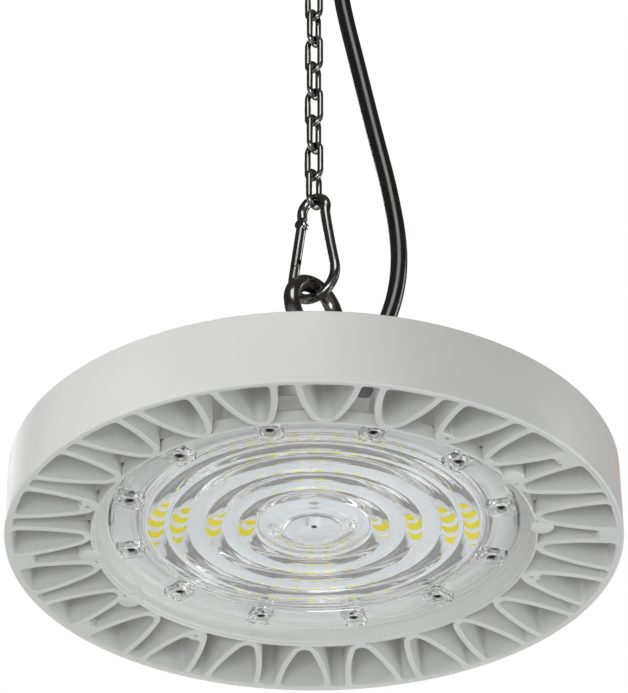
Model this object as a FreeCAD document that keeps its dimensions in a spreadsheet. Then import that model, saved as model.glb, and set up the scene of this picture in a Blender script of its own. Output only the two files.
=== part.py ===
import FreeCAD, Part
import os
import math
import Sketcher
from FreeCAD import Vector, Placement, Rotation

# High bay light: a cast disc housing with a ring of looped fins, a moulded lens
# over the LED board, a driver can on its back with an eye bolt, hung by a
# carabiner and a chain from a ceiling hook. Millimetres. Each sub-part is built
# with z = 0 at the lower edge of the housing's rim, and its Placement brings it
# into the part's own frame, whose origin is the ceiling face of the canopy.

os.makedirs("parts", exist_ok=True)
doc = FreeCAD.newDocument("high_bay_light")

# ---------------------------------------------------------------- dimensions
sheet = doc.addObject("Spreadsheet::Sheet", "dims")
DIMS = [
    ("ceiling_height", 460.0, "rim's lower edge to the ceiling face"),
    ("rim_radius", 170.0, "outside of the rim"),
    ("rim_wall", 4.2, "thickness of the rim wall"),
    ("rim_height", 43.0, "height of the rim wall"),
    ("fin_count", 24, "looped fins"),
    ("fin_first", 2.5, "angle of the first fin in degrees"),
    ("fin_wall", 3.7, "thickness of a fin's wall"),
    ("fin_top", 29.0, "top of the fins"),
    ("fin_pocket_top", 26.0, "roof of a fin's pocket"),
    ("slope_outer", 0.4, "lower face at the rim"),
    ("slope_inner", 5.0, "lower face at the inner ring"),
    ("ring_radius", 123.0, "outside of the inner ring"),
    ("core_radius", 112.0, "back plate"),
    ("core_top", 27.0, "top of the back plate"),
    ("seat_height", 17.4, "seat of the lens flange"),
    ("floor_height", 22.0, "seat of the LED board"),
    ("lens_radius", 113.9, "outside of the lens flange"),
    ("lens_front", 14.0, "front face of the lens"),
    ("lens_back", 18.64, "back face of the lens under its ridges"),
    ("lens_rest", 17.0, "back face of the lens at its centre and rim"),
    ("ridge_apex", 11.6, "front of a ridge"),
    ("screw_circle", 104.8, "lens screws"),
    ("screw_count", 12, "lens screws"),
    ("screw_first", 17.2, "angle of the first lens screw"),
    ("board_radius", 96.0, "LED board"),
    ("board_thickness", 1.6, "LED board"),
    ("pad_thickness", 0.4, "thermal pad"),
    ("can_radius", 66.0, "driver can"),
    ("can_top", 110.0, "top of the driver can"),
    ("can_wall", 2.5, "wall of the driver can"),
    ("can_flange", 80.0, "radius of the can's flange"),
    ("eye_radius", 18.0, "centreline of the eye"),
    ("eye_bar", 10.0, "diameter of the eye's bar"),
    ("eye_height", 159.85, "centre of the eye"),
    ("wire_link", 3.7, "wire of the chain"),
    ("link_bend", 4.65, "centreline radius of a link's end"),
    ("link_straight", 15.7, "straight of a link"),
    ("first_bend", 5.25, "centreline radius of the widest, lowest link's end"),
    ("first_straight", 14.5, "straight of the lowest link"),
    ("chain_pitch", 21.0, "pitch of the chain"),
    ("chain_first", 236.1, "lower wire of the first link"),
    ("clip_wire", 6.1, "wire of the carabiner"),
    ("cable_size", 10.0, "diameter of the supply cable"),
    ("canopy_radius", 38.0, "ceiling canopy"),
    ("canopy_depth", 24.0, "ceiling canopy"),
]
VALUE = {}
for i, (alias, value, note) in enumerate(DIMS, start=1):
    sheet.set("A%d" % i, note)
    sheet.set("B%d" % i, str(value))
    sheet.setAlias("B%d" % i, alias)
    VALUE[alias] = float(value)
doc.recompute()


class Q:
    """A size: its number, and the expression that ties it to the sheet."""

    def __init__(self, value, text):
        self.value = float(value)
        self.text = text

    def _join(self, other, sign, value):
        o = other if isinstance(other, Q) else Q(other, "%.6g" % other)
        return Q(value, "(%s %s %s)" % (self.text, sign, o.text))

    def __add__(self, other):
        return self._join(other, "+", self.value + num(other))

    def __sub__(self, other):
        return self._join(other, "-", self.value - num(other))

    def __mul__(self, other):
        return self._join(other, "*", self.value * num(other))

    def __neg__(self):
        return Q(-self.value, "(0 - %s)" % self.text)


def num(x):
    return x.value if isinstance(x, Q) else float(x)


def D(alias):
    return Q(VALUE[alias], "dims." + alias)


# ------------------------------------------------------------------- helpers
PARTS = []


def finish(obj, label, azimuth=0.0):
    """Name a sub-part and put it in the part's frame."""
    obj.Label = label
    turn = Rotation(Vector(0, 0, 1), azimuth)
    obj.Placement = Placement(Vector(0, 0, -VALUE["ceiling_height"]), turn)
    obj.setExpression("Placement.Base.z", "0 - dims.ceiling_height")
    PARTS.append(obj)
    return obj


def body(name):
    return doc.addObject("PartDesign::Body", name)


def plane(b, role):
    for f in b.Origin.OriginFeatures:
        if f.Role == role:
            return f


def sketch(b, name, role="XY_Plane", height=None):
    s = b.newObject("Sketcher::SketchObject", name)
    s.AttachmentSupport = [(plane(b, role), "")]
    s.MapMode = "FlatFace"
    if height is not None:
        s.AttachmentOffset = Placement(Vector(0, 0, num(height)), Rotation())
        if isinstance(height, Q):
            s.setExpression("AttachmentOffset.Base.z", height.text)
    return s


def tie(s, index, size):
    if isinstance(size, Q):
        s.setExpression("Constraints[%d]" % index, size.text)


def polygon(s, pts):
    """A closed outline whose corners are dimensioned from the origin."""
    n0 = s.GeometryCount
    n = len(pts)
    xy = [(num(a), num(b)) for a, b in pts]
    for i in range(n):
        p, q = xy[i], xy[(i + 1) % n]
        s.addGeometry(Part.LineSegment(Vector(p[0], p[1], 0), Vector(q[0], q[1], 0)), False)
    for i in range(n):
        s.addConstraint(Sketcher.Constraint("Coincident", n0 + i, 2, n0 + (i + 1) % n, 1))
    for i, (a, b) in enumerate(pts):
        for kind, axis, size in (("DistanceX", -2, a), ("DistanceY", -1, b)):
            if abs(num(size)) < 1e-9:
                s.addConstraint(Sketcher.Constraint("PointOnObject", n0 + i, 1, axis))
            else:
                k = s.addConstraint(Sketcher.Constraint(kind, -1, 1, n0 + i, 1, num(size)))
                tie(s, k, size)


def circle(s, x, y, radius):
    """A circle with its centre and radius dimensioned."""
    g = s.addGeometry(Part.Circle(Vector(num(x), num(y), 0), Vector(0, 0, 1), num(radius)), False)
    for kind, axis, size in (("DistanceX", -2, x), ("DistanceY", -1, y)):
        if abs(num(size)) < 1e-9:
            s.addConstraint(Sketcher.Constraint("PointOnObject", g, 3, axis))
        else:
            k = s.addConstraint(Sketcher.Constraint(kind, -1, 1, g, 3, num(size)))
            tie(s, k, size)
    k = s.addConstraint(Sketcher.Constraint("Radius", g, num(radius)))
    tie(s, k, radius)
    return g


def ngon(s, across, x=0.0, y=0.0, n=6, turn=0.0):
    """A regular outline by its width across flats, fixed in place."""
    r = num(across) / 2.0 / math.cos(math.pi / n)
    g0 = s.GeometryCount
    v = [Vector(x + r * math.cos(turn + 2 * math.pi * i / n),
                y + r * math.sin(turn + 2 * math.pi * i / n), 0) for i in range(n)]
    for i in range(n):
        s.addGeometry(Part.LineSegment(v[i], v[(i + 1) % n]), False)
    for i in range(n):
        s.addConstraint(Sketcher.Constraint("Coincident", g0 + i, 2, g0 + (i + 1) % n, 1))
        s.addConstraint(Sketcher.Constraint("Block", g0 + i))


def revolve(b, s, name="Revolution", angle=360.0, cut=False, rev=False, axis="V_Axis"):
    f = b.newObject("PartDesign::Groove" if cut else "PartDesign::Revolution", name)
    f.Refine = False
    f.Profile = s
    f.ReferenceAxis = (s, [axis])
    f.Angle = angle
    f.Reversed = rev
    s.Visibility = False
    doc.recompute()
    return f


def pad(b, s, length, name="Pad", down=False):
    f = b.newObject("PartDesign::Pad", name)
    f.Refine = False
    f.Profile = s
    f.Length = num(length)
    if isinstance(length, Q):
        f.setExpression("Length", length.text)
    f.Reversed = down
    s.Visibility = False
    doc.recompute()
    return f


def pocket(b, s, length, name="Pocket", up=True):
    """Cut from the sketch's height, upwards where up is set."""
    f = b.newObject("PartDesign::Pocket", name)
    f.Refine = False
    f.Profile = s
    f.Length = num(length)
    if isinstance(length, Q):
        f.setExpression("Length", length.text)
    f.Reversed = up
    s.Visibility = False
    doc.recompute()
    return f


def polar(b, feature, count, name="PolarPattern"):
    f = b.newObject("PartDesign::PolarPattern", name)
    f.Refine = False
    f.Originals = [feature]
    f.Axis = (plane(b, "Z_Axis"), [""])
    f.Angle = 360.0
    f.Occurrences = int(num(count))
    if isinstance(count, Q):
        f.setExpression("Occurrences", count.text)
    b.Tip = f
    doc.recompute()
    return f


def at(radius, degrees):
    a = math.radians(degrees)
    return radius * math.cos(a), radius * math.sin(a)


def feature(name, shape):
    f = doc.addObject("Part::Feature", name)
    f.Shape = shape
    return f


# ------------------------------------------------------------------- housing
# The fin's outline: a long loop that opens towards the rim. Its pocket has a
# round tip near the inner ring, and sides that curve outwards to the rim.
TIP_X, TIP_R = 131.3, 4.4
MID, END = (146.0, 9.75), (165.8, 13.35)


def fin_edges(offset, r_end):
    e = Vector(END[0], END[1], 0)
    m = Vector(MID[0], MID[1], 0)
    best = None
    for i in range(600, 900):
        a = math.radians(i / 10.0)
        t = Vector(TIP_X - TIP_R * math.cos(a), TIP_R * math.sin(a), 0)
        arc = Part.Arc(t, m, e)
        d = arc.toShape().tangentAt(arc.toShape().FirstParameter)
        err = (d - Vector(math.sin(a), math.cos(a), 0)).Length
        if best is None or err < best[0]:
            best = (err, a, t, arc.toShape().Curve.Center)
    err, a, t, c = best

    def out(p):
        d = p - c
        d.normalize()
        if d.y < 0:
            d = -d
        return p + d * offset

    t2 = Vector(TIP_X - (TIP_R + offset) * math.cos(a), (TIP_R + offset) * math.sin(a), 0)
    m2, e2 = out(m), out(e)
    tip = Vector(TIP_X - TIP_R - offset, 0, 0)
    side = Part.Arc(t2, m2, e2).toShape()
    g = side.tangentAt(side.LastParameter)
    k = (r_end - e2.x) / g.x
    x2 = e2 + g * k

    def mir(p):
        return Vector(p.x, -p.y, 0)

    out_edges = [Part.Arc(mir(t2), tip, t2), Part.Arc(t2, m2, e2)]
    if abs(k) > 1e-6:
        out_edges.append(Part.LineSegment(e2, x2))
    out_edges.append(Part.LineSegment(x2, mir(x2)))
    if abs(k) > 1e-6:
        out_edges.append(Part.LineSegment(mir(x2), mir(e2)))
    out_edges.append(Part.Arc(mir(e2), mir(m2), mir(t2)))
    return out_edges


def turned(geometry, degrees):
    out = []
    m = FreeCAD.Matrix()
    m.rotateZ(math.radians(degrees))
    for g in geometry:
        h = g.copy()
        h.transform(m)
        out.append(h)
    return out


def fin_sketch(s, offset, r_end, degrees, round_to=None):
    edges = fin_edges(offset, r_end)
    if round_to:
        w = Part.Wire(Part.__sortEdges__([g.toShape() for g in edges]))
        f = Part.Face(w).makeOffset2D(-round_to).makeOffset2D(round_to)
        edges = []
        for ed in f.OuterWire.OrderedEdges:
            a = ed.valueAt(ed.FirstParameter)
            z = ed.valueAt(ed.LastParameter)
            if isinstance(ed.Curve, Part.Line):
                edges.append(Part.LineSegment(a, z))
            else:
                edges.append(Part.Arc(a, ed.valueAt((ed.FirstParameter + ed.LastParameter) / 2), z))
    for g in turned(edges, degrees):
        k = s.addGeometry(g, False)
        s.addConstraint(Sketcher.Constraint("Block", k))


housing = body("housing_body")
s = sketch(housing, "rim_profile", "XZ_Plane")
R_OUT, R_IN = D("rim_radius"), D("rim_radius") - D("rim_wall")
HIGH = D("rim_height")
polygon(s, [(R_IN, 0.9), (R_IN + 0.7, 0.3), (R_OUT - 1.9, 0.25), (R_OUT - 1.7, 0.0),
            (R_OUT - 0.7, 0.0), (R_OUT, 0.8), (R_OUT, HIGH - 0.8), (R_OUT - 0.8, HIGH),
            (R_IN + 0.7, HIGH), (R_IN, HIGH - 0.7)])
revolve(housing, s, "rim")

s = sketch(housing, "fin_outline", "XY_Plane", 0.0)
fin_sketch(s, VALUE["fin_wall"], 167.5, VALUE["fin_first"])
fin = pad(housing, s, D("fin_top"), "fin")
polar(housing, fin, D("fin_count"), "fins")

# The fins' lower faces rise from the rim to the inner ring.
s = sketch(housing, "slope_profile", "XZ_Plane")
polygon(s, [(110.0, -2.0), (R_IN + 0.3, -2.0), (R_IN + 0.3, D("slope_outer")),
            (D("ring_radius"), D("slope_inner")), (110.0, D("slope_inner") + 1.4)])
revolve(housing, s, "slope", cut=True)

s = sketch(housing, "pocket_outline", "XY_Plane", -2.0)
fin_sketch(s, 0.0, 165.8, VALUE["fin_first"], 2.6)
cut = pocket(housing, s, D("fin_pocket_top") + 2.0, "fin_pocket")
polar(housing, cut, D("fin_count"), "fin_pockets")

# Back plate, seat of the lens and inner ring, one casting with the fins.
RR, CR, CT = D("ring_radius"), D("core_radius"), D("core_top")
SH, FH = D("seat_height"), D("floor_height")
s = sketch(housing, "core_profile", "XZ_Plane")
polygon(s, [(0.0, FH), (98.5, FH), (98.5, SH), (114.3, SH), (114.3, 15.4), (117.7, 14.7),
            (119.8, 13.4), (120.4, 12.4), (120.5, 7.9), (121.0, 7.1), (RR - 0.4, 5.3),
            (RR, 5.6), (RR, 12.0), (RR - 0.8, 13.6), (RR - 2.5, 15.0), (114.5, 19.4),
            (CR + 0.5, 20.3), (CR, 21.2), (CR, CT - 0.8), (CR - 0.8, CT), (0.0, CT)])
revolve(housing, s, "core")

# Bosses in four of the gaps: one at the rim and a round one at the inner ring.
for i, (mid, side) in enumerate(((145.0, 1), (175.0, -1), (325.0, 1), (355.0, -1))):
    s = sketch(housing, "rim_boss_outline%d" % i, "XY_Plane", 0.6)
    cs = []
    for r, w in ((155.6, -5.0), (157.4, -2.6), (155.9, 0.0), (157.4, 2.6), (155.6, 5.0), (167.0, 6.4), (167.0, -6.4)):
        x, y = at(r, mid)
        nx, ny = at(w, mid + 90.0)
        cs.append(Vector(x + nx, y + ny, 0))
    g0 = s.GeometryCount
    for k in range(len(cs)):
        s.addGeometry(Part.LineSegment(cs[k], cs[(k + 1) % len(cs)]), False)
    for k in range(len(cs)):
        s.addConstraint(Sketcher.Constraint("Coincident", g0 + k, 2, g0 + (k + 1) % len(cs), 1))
        s.addConstraint(Sketcher.Constraint("Block", g0 + k))
    pad(housing, s, 24.0, "rim_boss%d" % i)
    s = sketch(housing, "ring_boss_outline%d" % i, "XY_Plane", 5.2)
    x, y = at(125.6, mid + side * 2.2)
    circle(s, x, y, 6.6)
    pad(housing, s, 14.0, "ring_boss%d" % i)

# Solid tips with a tapped hole in four of the fins.
for i, a in enumerate((17.5, 122.5, 197.5, 302.5)):
    s = sketch(housing, "tip_outline%d" % i, "XY_Plane", 4.6)
    x, y = at(128.8, a)
    circle(s, x, y, 4.4)
    pad(housing, s, 22.0, "tip%d" % i)
s = sketch(housing, "reflector_holes", "XY_Plane", 0.0)
for a in (17.5, 122.5, 197.5, 302.5):
    x, y = at(128.4, a)
    circle(s, x, y, 1.35)
pocket(housing, s, 32.0, "reflector_hole")
s = sketch(housing, "guard_holes", "XY_Plane", 0.0)
for a in (66.0, 156.5, 246.2, 336.0):
    x, y = at(122.0, a)
    circle(s, x, y, 0.75)
pocket(housing, s, 10.0, "guard_hole")

# Tapped holes of the lens screws, the seal's groove, and the holes of the plate.
s = sketch(housing, "lens_screw_hole", "XY_Plane", D("seat_height") - 0.5)
x, y = at(VALUE["screw_circle"], VALUE["screw_first"])
circle(s, x, y, 1.25)
hole = pocket(housing, s, 7.0, "lens_hole")
polar(housing, hole, D("screw_count"), "lens_holes")
s = sketch(housing, "seal_groove_profile", "XZ_Plane")
polygon(s, [(99.7, SH - 0.5), (101.9, SH - 0.5), (101.9, SH + 1.4), (99.7, SH + 1.4)])
revolve(housing, s, "seal_groove", cut=True)
s = sketch(housing, "plate_holes", "XY_Plane", D("floor_height") - 1.0)
circle(s, 0.0, 0.0, 1.65)
circle(s, -21.5, 5.5, 1.25)
circle(s, 21.0, -3.0, 1.25)
pocket(housing, s, 4.4, "board_holes")
s = sketch(housing, "wire_hole", "XY_Plane", D("floor_height") - 1.0)
circle(s, 0.0, -20.0, 4.0)
pocket(housing, s, 8.0, "wire_pass")
s = sketch(housing, "cover_hole", "XY_Plane", 21.5 + 1.7)
x, y = at(73.0, 30.0)
circle(s, x, y, 2.0)
hole = pocket(housing, s, 8.0, "cover_tap")
polar(housing, hole, 6, "cover_taps")
s = sketch(housing, "driver_holes", "XY_Plane", 23.5)
for x, y in ((-41.0, 12.0), (41.0, 12.0)):
    circle(s, x, y, 1.65)
circle(s, -13.0, -41.0, 1.25)
circle(s, 13.0, -41.0, 1.25)
pocket(housing, s, 8.0, "driver_taps")
finish(housing, "housing")

# ---------------------------------------------------------------------- lens
lens = body("lens_body")
LR, LF, LB, LT = D("lens_radius"), D("lens_front"), D("lens_back"), D("lens_rest")
RISE = VALUE["lens_front"] - VALUE["ridge_apex"]
s = sketch(lens, "lens_profile", "XZ_Plane")
polygon(s, [(0.0, LF), (95.4, LF), (95.8, LF - 0.3), (96.4, LF - 0.2), (96.8, 15.4), (LR - 0.4, 15.4),
            (LR, 15.8), (LR, 17.0), (LR - 0.2, 17.2), (97.0, 17.2), (96.4, LT), (94.4, LT),
            (94.0, LB), (31.2, LB), (30.8, LT), (0.0, LT)])
revolve(lens, s, "lens_plate")
# Each ridge is a ring lens over its ring of LEDs, with a hollow behind it.
for i, r in enumerate((87.4, 75.0, 55.6, 37.3)):
    s = sketch(lens, "ridge_profile%d" % i, "XZ_Plane")
    pts = []
    for k in range(0, 17):
        u = -4.8 * math.cos(math.pi * k / 16.0)
        pts.append((r + u, LF - RISE * (1.0 - abs(u / 4.8) ** 2.07) ** 0.83 if 0 < k < 16 else LF))
    pts.append((r + 4.8, LF + 0.6))
    pts.append((r - 4.8, LF + 0.6))
    polygon(s, pts)
    revolve(lens, s, "ridge%d" % i)
    s = sketch(lens, "hollow_profile%d" % i, "XZ_Plane")
    pts = []
    for k in range(0, 17):
        u = -4.43 * math.cos(math.pi * k / 16.0)
        pts.append((r + u, LB - 1.62 * (1.0 - abs(u / 4.43) ** 2.62) ** 1.29 if 0 < k < 16 else LB))
    pts.append((r + 4.43, LB + 0.6))
    pts.append((r - 4.43, LB + 0.6))
    polygon(s, pts)
    revolve(lens, s, "hollow%d" % i, cut=True)
# Centre boss, two lugs, and the walled seats of the twelve screws.
s = sketch(lens, "centre_profile", "XZ_Plane")
dome = [(16.9 * math.sin(math.pi * k / 16.0) ** 0.85, LF - 2.7 * max(0.0, math.cos(math.pi * k / 16.0)) ** 0.75) for k in range(0, 8)]
polygon(s, dome + [(16.9, LF), (16.9, LF + 0.6), (0.0, LF + 0.6)])
revolve(lens, s, "centre_boss")
s = sketch(lens, "lug_outline", "XY_Plane", D("lens_front") - 2.1)
for x, y in ((-21.5, 5.5), (21.0, -3.0)):
    circle(s, x, y, 2.7)
    circle(s, x, y, 0.95)
pad(lens, s, 2.6, "lugs")
s = sketch(lens, "cup_outline", "XY_Plane", 12.4)
x, y = at(VALUE["screw_circle"], VALUE["screw_first"])
circle(s, x, y, 4.8)
circle(s, x, y, 3.25)
cup = pad(lens, s, 3.4, "screw_cup")
polar(lens, cup, D("screw_count"), "screw_cups")
s = sketch(lens, "screw_seat_outline", "XY_Plane", 11.6)
SEAT = ((97.2, -6.7), (112.6, -6.7), (112.6, 6.7), (97.2, 6.7))
SEAT_IN = ((99.0, -4.7), (110.9, -4.7), (110.9, 4.7), (99.0, 4.7))
for loop in (SEAT, SEAT_IN):
    g0 = s.GeometryCount
    m = FreeCAD.Matrix()
    m.rotateZ(math.radians(VALUE["screw_first"]))
    v = [m.multVec(Vector(a, b, 0)) for a, b in loop]
    for k in range(4):
        s.addGeometry(Part.LineSegment(v[k], v[(k + 1) % 4]), False)
    for k in range(4):
        s.addConstraint(Sketcher.Constraint("Coincident", g0 + k, 2, g0 + (k + 1) % 4, 1))
        s.addConstraint(Sketcher.Constraint("Block", g0 + k))
seat = pad(lens, s, 4.2, "screw_seat")
polar(lens, seat, D("screw_count"), "screw_seats")
s = sketch(lens, "screw_clearance", "XY_Plane", 12.0)
x, y = at(VALUE["screw_circle"], VALUE["screw_first"])
circle(s, x, y, 1.65)
hole = pocket(lens, s, 7.0, "screw_hole")
polar(lens, hole, D("screw_count"), "screw_holes")
finish(lens, "lens_cover")

seal = body("seal_body")
s = sketch(seal, "seal_profile", "XZ_Plane")
polygon(s, [(99.8, 17.25), (101.8, 17.25), (101.8, SH + 1.3), (99.8, SH + 1.3)])
revolve(seal, s, "seal")
finish(seal, "lens_seal")

# ------------------------------------------------------------ lens screws
def screw_solids(name, label, places, shank_r, shank_end, seat_z, head_r, head_h):
    """Separate screws as one group of solids, heads towards the lower side
    where shank_end lies above the seat, else towards the upper side."""
    up = shank_end > seat_z
    tool = []
    for x, y in places:
        shank = Part.makeCylinder(shank_r, abs(shank_end - seat_z), Vector(x, y, min(seat_z, shank_end)))
        base = seat_z - head_h if up else seat_z
        head = Part.makeCylinder(head_r, head_h, Vector(x, y, base))
        rim = [e for e in head.Edges if isinstance(e.Curve, Part.Circle) and abs(e.Curve.Center.z - (base if up else base + head_h)) < 1e-6]
        head = head.makeFillet(head_h * 0.35, rim)
        r = head_r * 0.48
        pts = [Vector(x + r * math.cos(math.pi / 3 * i), y + r * math.sin(math.pi / 3 * i), base - 1 if up else base + head_h * 0.45) for i in range(7)]
        drive = Part.Face(Part.makePolygon(pts)).extrude(Vector(0, 0, head_h * 0.55 + 1))
        tool.append(head.fuse(shank).cut(drive).removeSplitter())
    f = feature(name, Part.makeCompound(tool))
    return finish(f, label)


places = [at(VALUE["screw_circle"], VALUE["screw_first"] + 30.0 * i) for i in range(12)]
screw_solids("lens_screw_group", "lens_screws", places, 1.25, 23.4, 15.4, 2.6, 1.9)

# ------------------------------------------------------------- LED board
BT, PT = D("board_thickness"), D("pad_thickness")
board = body("board_body")
s = sketch(board, "board_outline", "XY_Plane", D("floor_height") - PT - BT)
circle(s, 0.0, 0.0, D("board_radius"))
circle(s, 0.0, 0.0, 1.7)
circle(s, -21.5, 5.5, 1.7)
circle(s, 21.0, -3.0, 1.7)
circle(s, 0.0, -20.0, 3.0)
pad(board, s, BT, "board")
finish(board, "led_board")

tim = body("thermal_pad_body")
s = sketch(tim, "pad_outline", "XY_Plane", D("floor_height") - PT)
circle(s, 0.0, 0.0, D("board_radius") - 0.8)
circle(s, 0.0, 0.0, 2.2)
circle(s, -21.5, 5.5, 2.2)
circle(s, 21.0, -3.0, 2.2)
circle(s, 0.0, -20.0, 4.2)
pad(tim, s, PT, "pad_sheet")
finish(tim, "thermal_pad")

LED_RINGS = ((87.4, 48, 0.5), (75.0, 42, 4.0), (55.6, 32, 2.0), (37.3, 20, 5.0))
chips = []
z_led = VALUE["floor_height"] - VALUE["pad_thickness"] - VALUE["board_thickness"]
for r, n, a0 in LED_RINGS:
    for i in range(n):
        a = a0 + 360.0 * i / n
        c = Part.makeBox(5.2, 7.0, 0.7, Vector(-2.6, -3.5, -0.7))
        c.rotate(Vector(0, 0, 0), Vector(0, 0, 1), a)
        x, y = at(r, a)
        c.translate(Vector(x, y, z_led))
        chips.append(c)
finish(feature("chips", Part.makeCompound(chips)), "leds")
screw_solids("board_screw_group", "board_screws", [(-21.5, 5.5), (21.0, -3.0)], 1.25, 25.0, z_led, 2.5, 1.5)
screw_solids("centre_screw_solid", "centre_screw", [(0.0, 0.0)], 1.6, 25.2, z_led, 3.2, 1.8)

# ------------------------------------------------------------- driver can
can = body("can_body")
KR, KT, KW, KF = D("can_radius"), D("can_top"), D("can_wall"), D("can_flange")
BASE = CT + 1.5
s = sketch(can, "can_profile", "XZ_Plane")
polygon(s, [(0.0, KT - KW), (KR - KW - 3.0, KT - KW), (KR - KW, KT - KW - 3.0), (KR - KW, BASE),
            (KF, BASE), (KF, BASE + 3.4), (KF - 1.0, BASE + 4.2), (KR + 1.5, BASE + 4.2), (KR, BASE + 6.0),
            (KR, KT - 5.0), (KR - 1.5, KT - 1.5), (KR - 5.0, KT), (16.0, KT), (14.0, KT + 2.0), (14.0, KT + 5.2), (13.2, KT + 6.0), (0.0, KT + 6.0)])
revolve(can, s, "can_shell")
s = sketch(can, "flange_hole", "XY_Plane", 27.0)
x, y = at(73.0, 30.0)
circle(s, x, y, 2.3)
hole = pocket(can, s, 9.0, "flange_cut")
polar(can, hole, 6, "flange_cuts")
s = sketch(can, "top_holes", "XY_Plane", 104.0)
circle(s, 0.0, 0.0, D("eye_bar") * 0.5 + 0.1)
circle(s, 38.0, 0.0, 8.1)
circle(s, -38.0, 0.0, 6.1)
pocket(can, s, 14.0, "top_cuts")
finish(can, "driver_cover")

gasket = body("gasket_body")
s = sketch(gasket, "gasket_outline", "XY_Plane", D("core_top"))
circle(s, 0.0, 0.0, D("can_flange") - 0.5)
circle(s, 0.0, 0.0, D("can_radius") - 1.5)
for i in range(6):
    x, y = at(73.0, 30.0 + 60.0 * i)
    circle(s, x, y, 2.6)
pad(gasket, s, 1.5, "gasket_sheet")
finish(gasket, "cover_gasket")
screw_solids("cover_screw_group", "cover_screws", [at(73.0, 30.0 + 60.0 * i) for i in range(6)], 2.0, 23.6, VALUE["core_top"] + 5.7, 3.8, 3.0)

# ------------------------------------------------------------- electronics
driver = body("driver_body")
s = sketch(driver, "driver_outline", "XY_Plane", D("core_top"))
polygon(s, [(-46.0, -2.0), (46.0, -2.0), (46.0, 26.0), (-46.0, 26.0)])
pad(driver, s, 3.0, "driver_plate")
s = sketch(driver, "driver_case", "XY_Plane", D("core_top") + 3.0)
polygon(s, [(-36.0, -16.0), (36.0, -16.0), (36.0, 34.0), (-36.0, 34.0)])
pad(driver, s, 44.0, "driver_box")
s = sketch(driver, "driver_slots", "XY_Plane", D("core_top") - 1.0)
circle(s, -41.0, 12.0, 2.1)
circle(s, 41.0, 12.0, 2.1)
pocket(driver, s, 6.0, "driver_cuts")
finish(driver, "driver")
screw_solids("driver_screw_group", "driver_screws", [(-41.0, 12.0), (41.0, 12.0)], 1.65, 23.6, VALUE["core_top"] + 3.0, 3.0, 2.2)

block = body("terminal_body")
s = sketch(block, "terminal_outline", "XY_Plane", D("core_top"))
polygon(s, [(-20.0, -49.0), (20.0, -49.0), (20.0, -33.0), (-20.0, -33.0)])
circle(s, -13.0, -41.0, 1.6)
circle(s, 13.0, -41.0, 1.6)
pad(block, s, 15.0, "terminal_case")
s = sketch(block, "terminal_entries", "XZ_Plane", 32.0)
for x in (-6.5, 0.0, 6.5):
    circle(s, x, CT + 8.0, 1.6)
pocket(block, s, 9.0, "terminal_cuts")
finish(block, "terminal_block")
screw_solids("terminal_screw_group", "terminal_screws", [(-13.0, -41.0), (13.0, -41.0)], 1.25, 24.0, VALUE["core_top"] + 15.0, 2.3, 1.5)


def wire_tube(points, radius, bend):
    """Straight runs joined by tangent arcs, swept with a round section."""
    pts = [Vector(*p) for p in points]
    edges = []
    last = pts[0]
    radii = []
    for i in range(1, len(pts) - 1):
        a, b, c = pts[i - 1], pts[i], pts[i + 1]
        u, v = a - b, c - b
        lu, lv = u.Length, v.Length
        u.normalize()
        v.normalize()
        turn = math.pi - u.getAngle(v)
        cut = 0.45 * min(lu, lv)
        r = cut / math.tan(turn / 2.0)
        if bend and r > bend:
            r = bend
            cut = r * math.tan(turn / 2.0)
        radii.append(r)
        p, q = b + u * cut, b + v * cut
        m = u + v
        m.normalize()
        centre = b + m * (r / math.cos(turn / 2.0))
        mid = centre - m * r
        edges.append(Part.LineSegment(last, p).toShape())
        edges.append(Part.Arc(p, mid, q).toShape())
        last = q
    edges.append(Part.LineSegment(last, pts[-1]).toShape())
    spine = Part.Wire(edges)
    d = pts[1] - pts[0]
    ring = Part.Wire([Part.makeCircle(radius, pts[0], d)])
    tube = spine.makePipeShell([ring], True, False)
    return tube, spine.Length, min(radii)


wires = []
for x, zz in ((-6.5, 0.0), (0.0, 0.0), (6.5, 0.0)):
    t, _, _ = wire_tube([(x, -34.0, 35.0), (x, -24.5, 35.0), (x * 0.7, -20.0, 40.0), (x * 0.7, -17.6, 50.0)], 1.1, None)
    wires.append(t)
finish(feature("wire_group", Part.makeCompound(wires)), "driver_wires")
led_wires = []
for x in (-1.4, 1.4):
    t, _, _ = wire_tube([(x, -20.0, 20.6), (x, -20.0, 30.4), (x * 8.0, -21.0, 31.6), (x * 14.0, -21.0, 36.0), (x * 14.0, -18.0, 44.0)], 0.9, None)
    led_wires.append(t)

# --------------------------------------------------------- eye bolt and gland
eye = body("eye_body")
ER, EB, EH = D("eye_radius"), D("eye_bar"), D("eye_height")
s = sketch(eye, "eye_section", "XY_Plane", EH)
circle(s, ER, 0.0, EB * 0.5)
revolve(eye, s, "eye_ring")
s = sketch(eye, "shank_profile", "XZ_Plane")
polygon(s, [(0.0, 92.0), (4.3, 92.0), (5.0, 93.0), (5.0, KT + 6.0), (11.0, KT + 6.0), (11.5, KT + 6.6), (11.5, KT + 11.4),
            (10.6, KT + 12.2), (7.0, KT + 14.5), (5.6, KT + 19.0), (6.0, KT + 29.0), (0.0, KT + 29.0)])
revolve(eye, s, "shank")
finish(eye, "eye_bolt", 45.0)

washer = body("washer_body")
s = sketch(washer, "washer_outline", "XY_Plane", D("can_top") - KW - 2.0)
circle(s, 0.0, 0.0, 10.5)
circle(s, 0.0, 0.0, 5.2)
pad(washer, s, 2.0, "washer_ring")
finish(washer, "eye_washer")
nut = body("nut_body")
s = sketch(nut, "nut_outline", "XY_Plane", D("can_top") - KW - 10.4)
ngon(s, 16.6)
circle(s, 0.0, 0.0, 5.05)
pad(nut, s, 8.4, "nut_body_pad")
finish(nut, "eye_lock_nut")

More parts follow.
